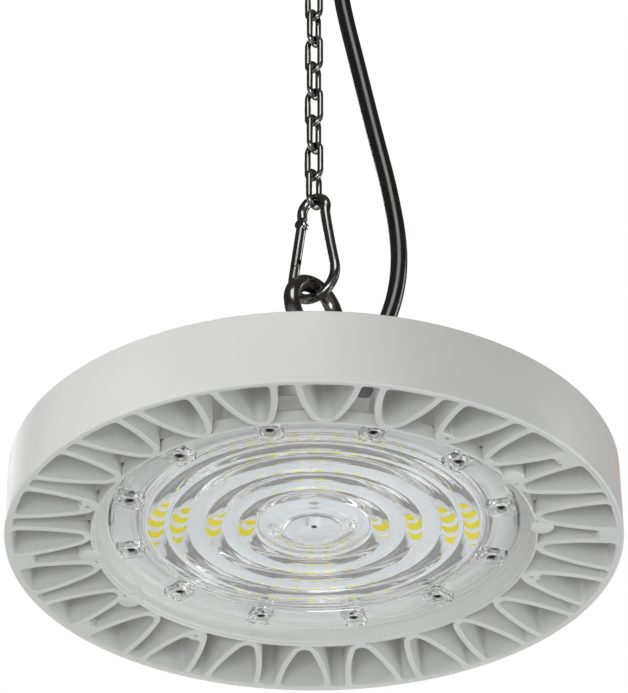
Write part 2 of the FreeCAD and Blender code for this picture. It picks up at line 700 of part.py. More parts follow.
gland = body("gland_body_obj")
s = sketch(gland, "gland_profile", "XZ_Plane")
polygon(s, [(5.15, 98.0), (7.5, 98.0), (8.0, 98.6), (8.0, KT), (5.15, KT)])
revolve(gland, s, "gland_thread")
s = sketch(gland, "gland_hex", "XY_Plane", KT)
ngon(s, 21.0)
circle(s, 0.0, 0.0, 5.15)
pad(gland, s, 6.0, "gland_flats")
s = sketch(gland, "gland_neck", "XY_Plane", KT + 6.0)
circle(s, 0.0, 0.0, 8.0)
circle(s, 0.0, 0.0, 7.0)
pad(gland, s, 7.0, "gland_collar")
finish(gland, "cable_gland_body")
gland.Placement = Placement(Vector(38.0, 0, -VALUE["ceiling_height"]), Rotation())
gland.setExpression("Placement.Base.z", "0 - dims.ceiling_height")

seal2 = body("gland_seal_obj")
s = sketch(seal2, "gland_seal_outline", "XY_Plane", KT + 6.1)
circle(s, 0.0, 0.0, 6.9)
circle(s, 0.0, 0.0, 5.1)
pad(seal2, s, 7.0, "gland_seal_ring")
finish(seal2, "cable_gland_seal")
seal2.Placement = gland.Placement
seal2.setExpression("Placement.Base.z", "0 - dims.ceiling_height")

dome = body("gland_nut_obj")
s = sketch(dome, "gland_nut_profile", "XZ_Plane")
polygon(s, [(8.1, KT + 6.2), (10.3, KT + 6.2), (10.3, KT + 14.0), (9.4, KT + 18.0), (7.4, KT + 21.0), (5.2, KT + 22.0), (5.2, KT + 13.6), (8.1, KT + 13.4)])
revolve(dome, s, "gland_dome")
s = sketch(dome, "gland_nut_hex", "XY_Plane", KT + 6.2)
ngon(s, 21.0)
circle(s, 0.0, 0.0, 8.1)
pad(dome, s, 7.4, "gland_nut_flats")
finish(dome, "cable_gland_nut")
dome.Placement = gland.Placement
dome.setExpression("Placement.Base.z", "0 - dims.ceiling_height")

lock = body("gland_lock_obj")
s = sketch(lock, "gland_lock_outline", "XY_Plane", KT - KW - 4.5)
ngon(s, 21.0)
circle(s, 0.0, 0.0, 8.05)
pad(lock, s, 4.4, "gland_lock_flats")
finish(lock, "cable_gland_locknut")
lock.Placement = gland.Placement
lock.setExpression("Placement.Base.z", "0 - dims.ceiling_height")

vent = body("vent_obj")
s = sketch(vent, "vent_profile", "XZ_Plane")
polygon(s, [(0.0, 98.0), (6.0, 98.0), (6.0, KT), (9.5, KT), (9.5, KT + 5.0), (8.0, KT + 7.0), (0.0, KT + 7.0)])
revolve(vent, s, "vent_plug")
finish(vent, "breather_vent")
vent.Placement = Placement(Vector(-38.0, 0, -VALUE["ceiling_height"]), Rotation())
vent.setExpression("Placement.Base.z", "0 - dims.ceiling_height")

# ------------------------------------------------------------- supply cable
# From inside the gland up beside the chain, into the open ceiling canopy.
CABLE = [(38.0, 0.0, 108.6), (38.0, 0.0, 140.0), (48.5, 0.0, 172.0), (51.0, 0.0, 205.0),
         (45.5, 0.0, 248.0), (37.5, 0.0, 288.0), (27.5, 0.0, 342.0), (17.5, 0.0, 395.0),
         (15.6, 0.0, 423.0), (17.2, 0.0, 450.0)]
tube, cable_length, cable_bend = wire_tube(CABLE, VALUE["cable_size"] / 2.0, None)
print("cable length", round(cable_length, 1), "tightest bend", round(cable_bend, 1),
      "volume", round(tube.Volume), "expected", round(cable_length * math.pi * 25.0))
finish(feature("cable_solid", tube), "supply_cable")
finish(feature("led_wire_group", Part.makeCompound(led_wires)), "led_wires")

# ------------------------------------------------------------------ carabiner
def clip_centre():
    """Centreline of the clip in its own plane, from the gate's hinge over the
    top, down the spine and round the bottom to the nose."""
    pts = [(-8.35, 228.9), (-8.5, 230.6)]
    for a in (176, 160, 140, 115, 90, 65, 40, 20, 4):
        pts.append((8.6 * math.cos(math.radians(a)), 232.75 + 8.55 * math.sin(math.radians(a))))
    pts += [(8.1, 229.6), (8.6, 224.6), (10.1, 214.5), (12.1, 202.5), (14.0, 192.0)]
    for a in (8, -10, -30, -50, -70, -90, -110, -130, -150, -170, -188):
        pts.append((15.0 * math.cos(math.radians(a)), 184.5 + 15.0 * math.sin(math.radians(a))))
    pts += [(-14.3, 191.0), (-13.6, 195.2)]
    return pts


def bent_wire(pts, radius):
    curve = Part.BSplineCurve()
    curve.interpolate([Vector(a, 0, b) for a, b in pts])
    e = curve.toShape()
    w = Part.Wire([e])
    ring = Part.Wire([Part.makeCircle(radius, e.valueAt(e.FirstParameter), e.tangentAt(e.FirstParameter))])
    return w.makePipeShell([ring], True, False)


CW = VALUE["clip_wire"] / 2.0
clip = bent_wire(clip_centre(), CW)
# tongues: the wire is flattened to 2.2 mm at the hinge and at the nose
PIN = Vector(-8.9, 0, 225.2)
NOSE = Vector(-13.3, 0, 197.2)
hinge_tongue = Part.makeCylinder(2.9, 2.2, Vector(PIN.x, -1.1, PIN.z), Vector(0, 1, 0))
web = Part.makeBox(4.6, 2.2, 5.4, Vector(-11.0, -1.1, 225.4))
nose_tongue = Part.makeBox(4.4, 2.0, 4.4, Vector(-15.6, -1.0, 194.6))
clip = clip.fuse([hinge_tongue, web, nose_tongue])
clip = clip.cut(Part.makeCylinder(1.05, 8.0, Vector(PIN.x, -4.0, PIN.z), Vector(0, 1, 0)))
finish(feature("clip_body", clip), "carabiner_body", -34.5)

gate_line = Part.makeLine(PIN, NOSE)
d = NOSE - PIN
length = d.Length
d.normalize()
rod = Part.makeCylinder(CW, length + 1.3, PIN, d)
knuckle = Part.makeCylinder(CW + 0.15, 2 * CW, Vector(PIN.x, -CW, PIN.z), Vector(0, 1, 0))
ball = Part.makeSphere(CW, PIN)
gate = rod.fuse(knuckle.common(Part.makeBox(20, 5.6, 20, Vector(PIN.x - 10, -2.8, PIN.z - 10))))
gate = gate.cut(Part.makeBox(12.0, 2.6, 10.0, Vector(PIN.x - 6.0, -1.3, PIN.z - 4.4)))
gate = gate.cut(Part.makeBox(12.0, 2.4, 8.0, Vector(NOSE.x - 6.0, -1.2, NOSE.z - 4.6)))
gate = gate.cut(Part.makeCylinder(1.1, 8.0, Vector(PIN.x, -4.0, PIN.z), Vector(0, 1, 0)))
bore_at = PIN + d * 6.0
gate = gate.cut(Part.makeCylinder(1.45, 12.0, bore_at, d))
finish(feature("clip_gate", gate), "carabiner_gate", -34.5)
pin = Part.makeCylinder(1.0, 5.6, Vector(PIN.x, -2.8, PIN.z), Vector(0, 1, 0))
finish(feature("clip_pin", pin), "gate_pin", -34.5)
helix = Part.makeHelix(0.9, 9.0, 1.05)
ring = Part.Wire([Part.makeCircle(0.22, Vector(1.05, 0, 0), Vector(0, 1, 0.14))])
coil = Part.Wire(helix.Edges).makePipeShell([ring], True, True)
coil.Placement = Placement(bore_at + d * 1.2, Rotation(Vector(0, 0, 1), d))
finish(feature("clip_spring", Part.makeCompound([coil])), "gate_spring", -34.5)

# ---------------------------------------------------------------------- chain
for k in range(1, 10):
    link = body("link_body_%d" % k)
    bend, leg = D("first_bend" if k == 1 else "link_bend"), D("first_straight" if k == 1 else "link_straight")
    low = D("chain_first") + D("chain_pitch") * (k - 1) + bend
    s = sketch(link, "upper_section", "XY_Plane", low + leg)
    circle(s, bend, 0.0, D("wire_link") * 0.5)
    revolve(link, s, "upper_bend", 180.0, rev=True)
    s = sketch(link, "leg_sections", "XY_Plane", low)
    circle(s, bend, 0.0, D("wire_link") * 0.5)
    circle(s, -bend, 0.0, D("wire_link") * 0.5)
    pad(link, s, leg, "legs")
    s = sketch(link, "lower_section", "XY_Plane", low)
    circle(s, bend, 0.0, D("wire_link") * 0.5)
    revolve(link, s, "lower_bend", 180.0)
    finish(link, "chain_link_%d" % k, 55.5 if k % 2 else -34.5)

# -------------------------------------------------------------- ceiling parts
TOP = D("ceiling_height")
hook_pts = [(0.0, 456.5), (0.0, 449.5), (1.5, 445.6), (5.6, 442.2), (8.8, 438.2), (9.5, 433.95), (8.2, 429.2), (4.75, 425.72),
            (0.0, 424.45), (-4.75, 425.72), (-8.2, 429.2), (-9.5, 433.95), (-9.0, 437.6)]
hook = bent_wire(hook_pts, 2.5)
hook = hook.fuse([Part.makeCylinder(6.0, 3.0, Vector(0, 0, 454.0)), Part.makeCylinder(2.5, 4.0, Vector(0, 0, 455.6))])
finish(feature("hook_solid", hook), "ceiling_hook", -34.5)

canopy = body("canopy_body")
CRR, CD = D("canopy_radius"), D("canopy_depth")
s = sketch(canopy, "canopy_profile", "XZ_Plane")
polygon(s, [(0.0, TOP - 3.0), (CRR - 3.0, TOP - 3.0), (CRR - 1.6, TOP - 4.4), (CRR - 1.6, TOP - CD), (CRR, TOP - CD), (CRR, TOP), (0.0, TOP)])
revolve(canopy, s, "canopy_cup")
s = sketch(canopy, "canopy_hole", "XY_Plane", TOP - 5.0)
x, y = at(26.0, 90.0)
circle(s, x, y, 2.25)
hole = pocket(canopy, s, 8.0, "canopy_cut")
polar(canopy, hole, 3, "canopy_cuts")
s = sketch(canopy, "hook_hole", "XY_Plane", TOP - 5.0)
circle(s, 0.0, 0.0, 2.55)
pocket(canopy, s, 8.0, "hook_cut")
finish(canopy, "ceiling_canopy")

# ------------------------------------------------------------ check and write
doc.recompute()
bad = False
for o in doc.Objects:
    if "Invalid" in o.State or "Error" in o.State:
        print("INVALID", o.Label, o.State)
        bad = True
names = set()
for o in PARTS:
    shape = o.Shape
    if shape.isNull() or not shape.isValid():
        print("BAD SHAPE", o.Label)
        bad = True
    names.add(o.Label)
    print("%-22s solids %3d volume %9.0f  z %7.1f..%7.1f" % (o.Label, len(shape.Solids), shape.Volume, shape.BoundBox.ZMin, shape.BoundBox.ZMax))
if bad or len(names) != len(PARTS):
    raise SystemExit("part not written")
for o in PARTS:
    o.Shape.exportStep("parts/%s.step" % o.Label)
print("written", len(PARTS))
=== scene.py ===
import bpy, bmesh, math
import numpy as np
from mathutils import Vector, Matrix
from mathutils.geometry import delaunay_2d_cdt


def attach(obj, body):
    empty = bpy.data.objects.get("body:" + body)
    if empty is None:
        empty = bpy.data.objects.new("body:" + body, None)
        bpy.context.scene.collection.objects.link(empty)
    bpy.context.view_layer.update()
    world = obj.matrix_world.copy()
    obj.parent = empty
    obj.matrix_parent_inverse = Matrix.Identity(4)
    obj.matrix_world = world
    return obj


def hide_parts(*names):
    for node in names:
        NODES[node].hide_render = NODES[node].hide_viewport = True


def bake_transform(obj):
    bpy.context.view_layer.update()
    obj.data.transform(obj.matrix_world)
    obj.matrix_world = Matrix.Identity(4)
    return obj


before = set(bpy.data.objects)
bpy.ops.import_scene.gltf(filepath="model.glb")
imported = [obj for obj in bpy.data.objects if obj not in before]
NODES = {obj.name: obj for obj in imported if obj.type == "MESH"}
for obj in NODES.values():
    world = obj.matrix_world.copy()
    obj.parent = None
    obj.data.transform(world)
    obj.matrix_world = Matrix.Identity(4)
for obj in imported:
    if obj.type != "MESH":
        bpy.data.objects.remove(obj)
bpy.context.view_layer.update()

H = 0.460                      # ceiling face above the rim's lower edge
A = math.radians


def fr(p):
    """Millimetres above the rim's lower edge, to metres in the row frame."""
    return (p[0] * 0.001, p[1] * 0.001, p[2] * 0.001 - H)


# ------------------------------------------------------------------ materials
class Mat:
    """A small helper round one Principled material's node tree."""

    def __init__(self, name, color=(0.8, 0.8, 0.8), rough=0.4, metal=0.0, ior=1.5, **sockets):
        self.m = bpy.data.materials.new(name)
        self.m.use_nodes = True
        self.t = self.m.node_tree
        self.b = self.t.nodes["Principled BSDF"]
        self.out = self.t.nodes["Material Output"]
        self.set("Base Color", (*color, 1.0))
        self.set("Roughness", rough)
        self.set("Metallic", metal)
        self.set("IOR", ior)
        for k, v in sockets.items():
            self.set(k.replace("_", " "), v)
        self.coord = None

    def set(self, socket, value):
        self.b.inputs[socket].default_value = value

    def n(self, kind, **props):
        node = self.t.nodes.new(kind)
        for k, v in props.items():
            setattr(node, k, v)
        return node

    def link(self, a, b):
        self.t.links.new(a, b)

    def pos(self):
        if self.coord is None:
            self.coord = self.n("ShaderNodeTexCoord")
        return self.coord.outputs["Object"]

    def noise(self, scale, detail=3.0, rough=0.5, dist=0.0, vec=None):
        t = self.n("ShaderNodeTexNoise")
        t.inputs["Scale"].default_value = scale
        t.inputs["Detail"].default_value = detail
        t.inputs["Roughness"].default_value = rough
        t.inputs["Distortion"].default_value = dist
        self.link(vec or self.pos(), t.inputs["Vector"])
        return t.outputs["Fac"]

    def ramp(self, fac, stops):
        r = self.n("ShaderNodeValToRGB")
        e = r.color_ramp.elements
        while len(e) < len(stops):
            e.new(0.5)
        for i, (p, c) in enumerate(stops):
            e[i].position = p
            e[i].color = (*c, 1.0) if len(c) == 3 else c
        self.link(fac, r.inputs["Fac"])
        return r.outputs["Color"]

    def span(self, fac, lo, hi, a=0.0, b=1.0):
        r = self.n("ShaderNodeMapRange")
        r.inputs["From Min"].default_value = a
        r.inputs["From Max"].default_value = b
        r.inputs["To Min"].default_value = lo
        r.inputs["To Max"].default_value = hi
        self.link(fac, r.inputs["Value"])
        return r.outputs["Result"]

    def bump(self, height, strength, distance=0.001, normal=None):
        b = self.n("ShaderNodeBump")
        b.inputs["Strength"].default_value = strength
        b.inputs["Distance"].default_value = distance
        self.link(height, b.inputs["Height"])
        if normal is not None:
            self.link(normal, b.inputs["Normal"])
        self.link(b.outputs["Normal"], self.b.inputs["Normal"])
        return b

    def bevel(self, radius, samples=4):
        b = self.n("ShaderNodeBevel", samples=samples)
        b.inputs["Radius"].default_value = radius
        return b.outputs["Normal"]


def powder(name, tint, rough=0.5, bevel=0.0007):
    m = Mat(name, tint, rough, 0.0, 1.5)
    big = m.noise(14.0, 4.0, 0.55)
    col = m.ramp(big, [(0.30, tuple(c * 0.965 for c in tint)), (0.72, tuple(min(1.0, c * 1.02) for c in tint))])
    m.link(col, m.b.inputs["Base Color"])
    m.link(m.span(m.noise(60.0, 3.0), rough - 0.05, rough + 0.07, 0.3, 0.7), m.b.inputs["Roughness"])
    fine = m.noise(1900.0, 2.0, 0.6)
    m.bump(fine, 0.10, 0.00025, m.bevel(bevel) if bevel else None)
    return m.m


def metal(name, tint, rough, scale=500.0, strength=0.08, bevel=0.0003, anis=0.0):
    m = Mat(name, tint, rough, 1.0, 1.5)
    n1 = m.noise(scale, 3.0, 0.6)
    col = m.ramp(m.noise(40.0, 4.0, 0.6), [(0.3, tuple(c * 0.86 for c in tint)), (0.75, tint)])
    m.link(col, m.b.inputs["Base Color"])
    m.link(m.span(n1, max(0.02, rough - 0.06), rough + 0.08, 0.25, 0.75), m.b.inputs["Roughness"])
    m.bump(n1, strength, 0.0002, m.bevel(bevel) if bevel else None)
    if anis:
        m.set("Anisotropic", anis)
    return m.m


def plastic(name, tint, rough, scale=900.0, strength=0.12, bevel=0.0004):
    m = Mat(name, tint, rough, 0.0, 1.49)
    n1 = m.noise(scale, 2.0, 0.6)
    col = m.ramp(m.noise(60.0, 3.0), [(0.3, tuple(c * 0.9 for c in tint)), (0.7, tuple(min(1, c * 1.06) for c in tint))])
    m.link(col, m.b.inputs["Base Color"])
    m.link(m.span(n1, max(0.03, rough - 0.05), rough + 0.06, 0.3, 0.7), m.b.inputs["Roughness"])
    m.bump(n1, strength, 0.0002, m.bevel(bevel) if bevel else None)
    return m.m


COAT = powder("powder_coat_light_grey", (0.70, 0.695, 0.68), 0.46, 0.0)
COAT_STEEL = powder("powder_coat_canopy", (0.74, 0.74, 0.73), 0.42, 0.0005)


def black_chrome():
    m = Mat("black_chrome", (0.16, 0.155, 0.155), 0.10, 1.0, 1.5)
    n1 = m.noise(35.0, 4.0, 0.6)
    m.link(m.ramp(n1, [(0.3, (0.25, 0.245, 0.24)), (0.7, (0.34, 0.33, 0.32))]), m.b.inputs["Base Color"])
    m.link(m.span(m.noise(120.0, 2.0), 0.15, 0.21, 0.3, 0.7), m.b.inputs["Roughness"])
    return m.m


CHROME = black_chrome()
ZINC = metal("bright_zinc", (0.62, 0.61, 0.58), 0.24, 700.0, 0.10, 0.0002)
SCREW = metal("dark_burnished_steel", (0.16, 0.12, 0.10), 0.28, 700.0, 0.10, 0.0002)
DARK_CAN = metal("dark_coated_aluminium", (0.60, 0.545, 0.50), 0.42, 900.0, 0.10, 0.0006)
PLAIN_AL = metal("plain_aluminium", (0.68, 0.68, 0.70), 0.32, 300.0, 0.12, 0.0004)
NYLON = plastic("black_nylon", (0.022, 0.022, 0.023), 0.38, 1200.0, 0.2)
TERMINAL = plastic("terminal_plastic", (0.72, 0.71, 0.66), 0.4)
SILICONE = plastic("silicone_seal", (0.62, 0.62, 0.60), 0.55, 700.0, 0.1, None)
PAD_MAT = plastic("thermal_pad_grey", (0.32, 0.34, 0.37), 0.7, 500.0, 0.3, None)
WIRE_RED = plastic("wire_insulation", (0.42, 0.03, 0.02), 0.35, 500.0, 0.05, None)
WIRE_PALE = plastic("pale_wire_insulation", (0.72, 0.72, 0.70), 0.4, 500.0, 0.05, None)


def cable_mat():
    m = Mat("glossy_black_jacket", (0.006, 0.006, 0.006), 0.24, 0.0, 1.8)
    m.link(m.ramp(m.noise(30.0, 3.0), [(0.3, (0.004, 0.004, 0.004)), (0.7, (0.009, 0.008, 0.008))]), m.b.inputs["Base Color"])
    m.link(m.span(m.noise(90.0, 3.0), 0.20, 0.28, 0.3, 0.7), m.b.inputs["Roughness"])
    m.bump(m.noise(240.0, 2.0), 0.04, 0.0003)
    return m.m


JACKET = cable_mat()


def board_mat():
    m = Mat("white_solder_mask", (0.88, 0.89, 0.91), 0.30, 0.0, 1.5)
    m.link(m.ramp(m.noise(22.0, 3.0), [(0.35, (0.775, 0.79, 0.815)), (0.7, (0.81, 0.82, 0.84))]), m.b.inputs["Base Color"])
    m.link(m.span(m.noise(300.0, 2.0), 0.25, 0.38, 0.3, 0.7), m.b.inputs["Roughness"])
    m.bump(m.noise(500.0, 2.0), 0.05, 0.0001)
    return m.m


BOARD = board_mat()


def phosphor_mat():
    m = Mat("yellow_phosphor", (0.86, 0.80, 0.02), 0.35, 0.0, 1.5)
    m.link(m.ramp(m.noise(900.0, 2.0), [(0.3, (0.84, 0.69, 0.0)), (0.7, (0.92, 0.76, 0.0))]), m.b.inputs["Base Color"])
    m.bump(m.noise(2500.0, 2.0), 0.10, 0.0001)
    m.set("Specular IOR Level", 0.12)
    return m.m


PHOSPHOR = phosphor_mat()
LED_BODY = plastic("led_white_body", (0.82, 0.82, 0.80), 0.35, 900.0, 0.05, None)


def centre_screw_mat():
    """White-coated head with a bare, dark drive recess on the axis."""
    m = Mat("white_coated_screw", (0.8, 0.8, 0.8), 0.35, 0.0, 1.5)
    sep = m.n("ShaderNodeSeparateXYZ")
    m.link(m.pos(), sep.inputs[0])
    flat = m.n("ShaderNodeCombineXYZ")
    m.link(sep.outputs["X"], flat.inputs["X"])
    m.link(sep.outputs["Y"], flat.inputs["Y"])
    dist = m.n("ShaderNodeVectorMath", operation="LENGTH")
    m.link(flat.outputs["Vector"], dist.inputs[0])
    m.link(m.ramp(m.span(dist.outputs["Value"], 0.0, 1.0, 0.0, 0.0032), [(0.47, (0.13, 0.085, 0.06)), (0.53, (0.84, 0.85, 0.86))]), m.b.inputs["Base Color"])
    m.link(m.span(m.noise(600.0, 2.0), 0.28, 0.42, 0.3, 0.7), m.b.inputs["Roughness"])
    m.bump(m.noise(800.0, 2.0), 0.05, 0.0001)
    return m.m


CENTRE = centre_screw_mat()


def lens_mat():
    m = Mat("clear_polycarbonate", (0.995, 0.996, 0.998), 0.02, 0.0, 1.585)
    m.set("Transmission Weight", 1.0)
    m.link(m.span(m.noise(140.0, 2.0), 0.0, 0.02, 0.3, 0.7), m.b.inputs["Roughness"])
    m.bump(m.noise(90.0, 2.0), 0.004, 0.0003)
    # lamps shine through the clear moulding
    path = m.n("ShaderNodeLightPath")
    clear = m.n("ShaderNodeBsdfTransparent")
    clear.inputs["Color"].default_value = (0.97, 0.97, 0.975, 1.0)
    mix = m.n("ShaderNodeMixShader")
    m.link(path.outputs["Is Shadow Ray"], mix.inputs["Fac"])
    m.link(m.b.outputs["BSDF"], mix.inputs[1])
    m.link(clear.outputs["BSDF"], mix.inputs[2])
    m.link(mix.outputs["Shader"], m.out.inputs["Surface"])
    return m.m


LENS = lens_mat()


# ---------------------------------------------------------------- mesh helpers
def add_mesh(name, verts, faces, mats, body, nodes=(), smooth=True, face_mat=None, sharp=None):
    """A mesh from millimetre vertices above the rim, riding on a body."""
    me = bpy.data.meshes.new(name)
    me.from_pydata([fr(v) for v in verts], [], [tuple(int(i) for i in f) for f in faces])
    me.validate(clean_customdata=False)
    me.update()
    for m in (mats if isinstance(mats, (list, tuple)) else [mats]):
        me.materials.append(m)
    o = bpy.data.objects.new(name, me)
    bpy.context.scene.collection.objects.link(o)
    if face_mat is not None and len(me.polygons) == len(face_mat):
        me.polygons.foreach_set("material_index", np.array(face_mat, np.int32))
    me.polygons.foreach_set("use_smooth", np.full(len(me.polygons), bool(smooth)))
    if sharp:
        me.set_sharp_from_angle(angle=A(sharp))
    if body:
        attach(o, body)
    if nodes:
        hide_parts(*nodes)
    return o


class Build:
    """Collects vertices and faces of several islands for one mesh."""

    def __init__(self):
        self.v, self.f, self.m = [], [], []

    def add(self, verts, faces, mat=0):
        k = len(self.v)
        self.v += [tuple(map(float, p)) for p in verts]
        self.f += [tuple(i + k for i in f) for f in faces]
        self.m += [mat] * len(faces)

    def done(self, name, mats, body, nodes=(), **kw):
        return add_mesh(name, self.v, self.f, mats, body, nodes, face_mat=self.m, **kw)


def revolve(profile, segs=256, closed=True, a0=0.0):
    """Verts and faces of a (radius, z) outline turned about the axis; points
    on the axis become one vertex. Outline runs counter-clockwise in (r, z)."""
    verts, rows = [], []
    for r, z in profile:
        if abs(r) < 1e-6:
            rows.append([len(verts)] * segs)
            verts.append((0.0, 0.0, z))
        else:
            rows.append(list(range(len(verts), len(verts) + segs)))
            for i in range(segs):
                a = a0 + 2 * math.pi * i / segs
                verts.append((r * math.cos(a), r * math.sin(a), z))
    faces = []
    n = len(profile)
    for k in range(n if closed else n - 1):
        p, q = rows[k], rows[(k + 1) % n]
        if p[0] == p[-1] and q[0] == q[-1]:
            continue
        for i in range(segs):
            j = (i + 1) % segs
            f = [p[i], p[j], q[j], q[i]]
            g = []
            for x in f:
                if x not in g:
                    g.append(x)
            if len(g) > 2:
                faces.append(tuple(g))
    return verts, faces


def smooth_path(pts, per=8, closed=False):
    """Catmull-Rom points through pts."""
    P = np.array(pts, float)
    n = len(P)
    out = []
    rng = range(n if closed else n - 1)
    for i in rng:
        p1, p2 = P[i], P[(i + 1) % n]
        p0 = P[i - 1] if (closed or i > 0) else 2 * p1 - p2
        p3 = P[(i + 2) % n] if (closed or i < n - 2) else 2 * p2 - p1
        for k in range(per):
            t = k / per
            out.append(0.5 * ((2 * p1) + (-p0 + p2) * t + (2 * p0 - 5 * p1 + 4 * p2 - p3) * t * t + (-p0 + 3 * p1 - 3 * p2 + p3) * t ** 3))
    if not closed:
        out.append(P[-1])
    return np.array(out)


def sweep(path, radius, sides=20, closed=False, cap=0.35, up=None):
    """A round tube along path, with rounded ends where it is open."""
    P = np.array(path, float)
    n = len(P)
    if closed:
        T = np.roll(P, -1, 0) - np.roll(P, 1, 0)
    else:
        T = np.gradient(P, axis=0)
    T /= np.linalg.norm(T, axis=1)[:, None]
    R = np.full(n, float(radius)) if np.isscalar(radius) else np.array(radius, float)
    u = np.array(up if up is not None else (0.0, 0.0, 1.0))
    if abs(u @ T[0]) > 0.95:
        u = np.array((1.0, 0.0, 0.0))
    N = u - (u @ T[0]) * T[0]
    N /= np.linalg.norm(N)
    frames = []
    for i in range(n):
        N = N - (N @ T[i]) * T[i]
        N /= np.linalg.norm(N)
        frames.append((N.copy(), np.cross(T[i], N)))
    rings = []
    if not closed and cap:
        for s in (0.15, 0.45, 0.75, 0.93):
            k = math.sqrt(max(0.0, 1 - (1 - s) ** 2))
            rings.append((P[0] - T[0] * cap * R[0] * (1 - s), R[0] * k, frames[0]))
    for i in range(n):
        rings.append((P[i], R[i], frames[i]))
    if not closed and cap:
        for s in (0.93, 0.75, 0.45, 0.15):
            k = math.sqrt(max(0.0, 1 - (1 - s) ** 2))
            rings.append((P[-1] + T[-1] * cap * R[-1] * (1 - s), R[-1] * k, frames[-1]))
    verts = []
    for c, r, (a, b) in rings:
        for j in range(sides):
            w = 2 * math.pi * j / sides
            verts.append(c + r * (a * math.cos(w) + b * math.sin(w)))
    m = len(rings)
    faces = []
    for i in range(m if closed else m - 1):
        for j in range(sides):
            a = i * sides + j
            b = i * sides + (j + 1) % sides
            c = ((i + 1) % m) * sides + (j + 1) % sides
            d = ((i + 1) % m) * sides + j
            faces.append((a, b, c, d))
    if not closed:
        faces.append(tuple(reversed(range(sides))))
        faces.append(tuple(range((m - 1) * sides, m * sides)))
    return verts, faces


def in_plane(pts, azimuth):
    c, s = math.cos(A(azimuth)), math.sin(A(azimuth))
    return [(p[0] * c, p[0] * s, p[1]) for p in pts]


def polar_pt(r, deg, z=0.0):
    return (r * math.cos(A(deg)), r * math.sin(A(deg)), z)


# ------------------------------------------------------------------- lens
RIDGES = (37.3, 55.6, 75.0, 87.4)


def lens_profile():
    front = []
    for k in range(0, 19):
        t = A(90.0 * k / 18.0)
        front.append((16.9 * math.sin(t) ** 0.85, 14.0 - 2.7 * max(0.0, math.cos(t)) ** 0.75))
    front += [(17.4, 14.0), (22.6, 14.0), (22.85, 13.86), (23.15, 13.86), (23.4, 14.0)]
    for r in RIDGES:
        front.append((r - 5.3, 14.0))
        for k in range(0, 33):
            u = -4.8 * math.cos(math.pi * k / 32.0)
            front.append((r + u, 14.0 - 2.4 * max(0.0, 1.0 - abs(u / 4.8) ** 2.07) ** 0.83))
        front.append((r + 5.3, 14.0))
    front += [(95.2, 14.0), (95.5, 13.8), (95.8, 13.72), (96.2, 13.72), (96.5, 13.85), (96.62, 14.1), (96.66, 15.0), (96.72, 15.25), (97.0, 15.4),
              (109.6, 15.4), (109.9, 15.15), (110.5, 15.15), (110.8, 15.4), (113.3, 15.4), (113.8, 15.7)]
    back = [(113.9, 17.0), (113.6, 17.2), (97.2, 17.2), (96.6, 17.0)]
    back += [(94.9, 17.0), (94.3, 17.3), (94.0, 18.64)]
    for r in RIDGES[::-1]:
        for k in range(0, 25):
            u = 4.43 * math.cos(math.pi * k / 24.0)
            back.append((r + u, 18.64 - 1.62 * max(0.0, 1.0 - abs(u / 4.43) ** 2.62) ** 1.29))
    back += [(31.4, 18.64), (31.0, 17.3), (30.4, 17.0)]
    back.append((0.0, 17.0))
    return front + back


def lens():
    b = Build()
    v, f = revolve(lens_profile(), 240, closed=False)
    b.add(v, f)
    # walled seats round the twelve screws
    for i in range(12):
        a = 17.2 + 30.0 * i
        outer, inner = [], []
        for (x0, x1, y0, rad, dst) in ((97.2, 112.6, 6.7, 2.2, outer), (99.1, 110.7, 4.8, 1.2, inner)):
            for cx, cy, q in ((x1 - rad, y0 - rad, 0), (x0 + rad, y0 - rad, 90), (x0 + rad, -y0 + rad, 180), (x1 - rad, -y0 + rad, 270)):
                for k in range(5):
                    w = A(q + 22.5 * k)
                    dst.append((cx + rad * math.cos(w), cy + rad * math.sin(w)))
                if q == 90:
                    dst.extend([(x0, 1.45), (x0, 1.2), (x0, 0.0), (x0, -1.2), (x0, -1.45)])
                if q == 270:
                    dst.extend([(x1, -1.45), (x1, -1.2), (x1, 0.0), (x1, 1.2), (x1, 1.45)])
        n = len(outer)
        rows = [(outer, 15.55, 0.0), (outer, 12.9, -0.05), (outer, 12.2, -0.2), (outer, 11.75, -0.5), (outer, 11.6, -0.85),
                (inner, 11.6, 0.75), (inner, 11.75, 0.45), (inner, 12.2, 0.2), (inner, 12.9, 0.05), (inner, 15.55, 0.0)]
        verts = []
        for loop, z, off in rows:
            P = np.array(loop)
            c = P.mean(0)
            for p in P:
                d = p - c
                q = p + off * d / np.linalg.norm(d)
                x = q[0] * math.cos(A(a)) - q[1] * math.sin(A(a))
                y = q[0] * math.sin(A(a)) + q[1] * math.cos(A(a))
                verts.append((x, y, max(z, 14.3) if abs(p[1]) < 1.25 else z))
        faces = []
        for r in range(len(rows)):
            for k in range(n):
                p0, p1 = r * n + k, r * n + (k + 1) % n
                q0, q1 = ((r + 1) % len(rows)) * n + k, ((r + 1) % len(rows)) * n + (k + 1) % n
                faces.append((p0, q0, q1, p1))
        b.add(verts, faces)
        # the round cup that the screw's head sits in
        x, y, _ = polar_pt(104.8, a)
        v, f = revolve([(3.2, 15.5), (3.2, 13.0), (3.35, 12.6), (3.7, 12.4), (4.2, 12.4), (4.6, 12.6), (4.8, 13.1), (4.9, 15.5)], 32, closed=True)
        b.add([(p[0] + x, p[1] + y, p[2]) for p in v], f)
    for x, y in ((-21.5, 5.5), (21.0, -3.0)):
        prof = [(0.9, 13.6), (0.95, 12.1), (1.2, 11.9), (1.9, 11.85), (2.4, 12.05), (2.7, 12.6), (2.9, 14.1), (0.9, 14.1)]
        v, f = revolve(prof, 24, closed=True)
        b.add([(p[0] + x, p[1] + y, p[2]) for p in v], f)
    o = b.done("lens_moulding", [LENS], "luminaire", ["lens_cover"], sharp=50)
    return o


lens()

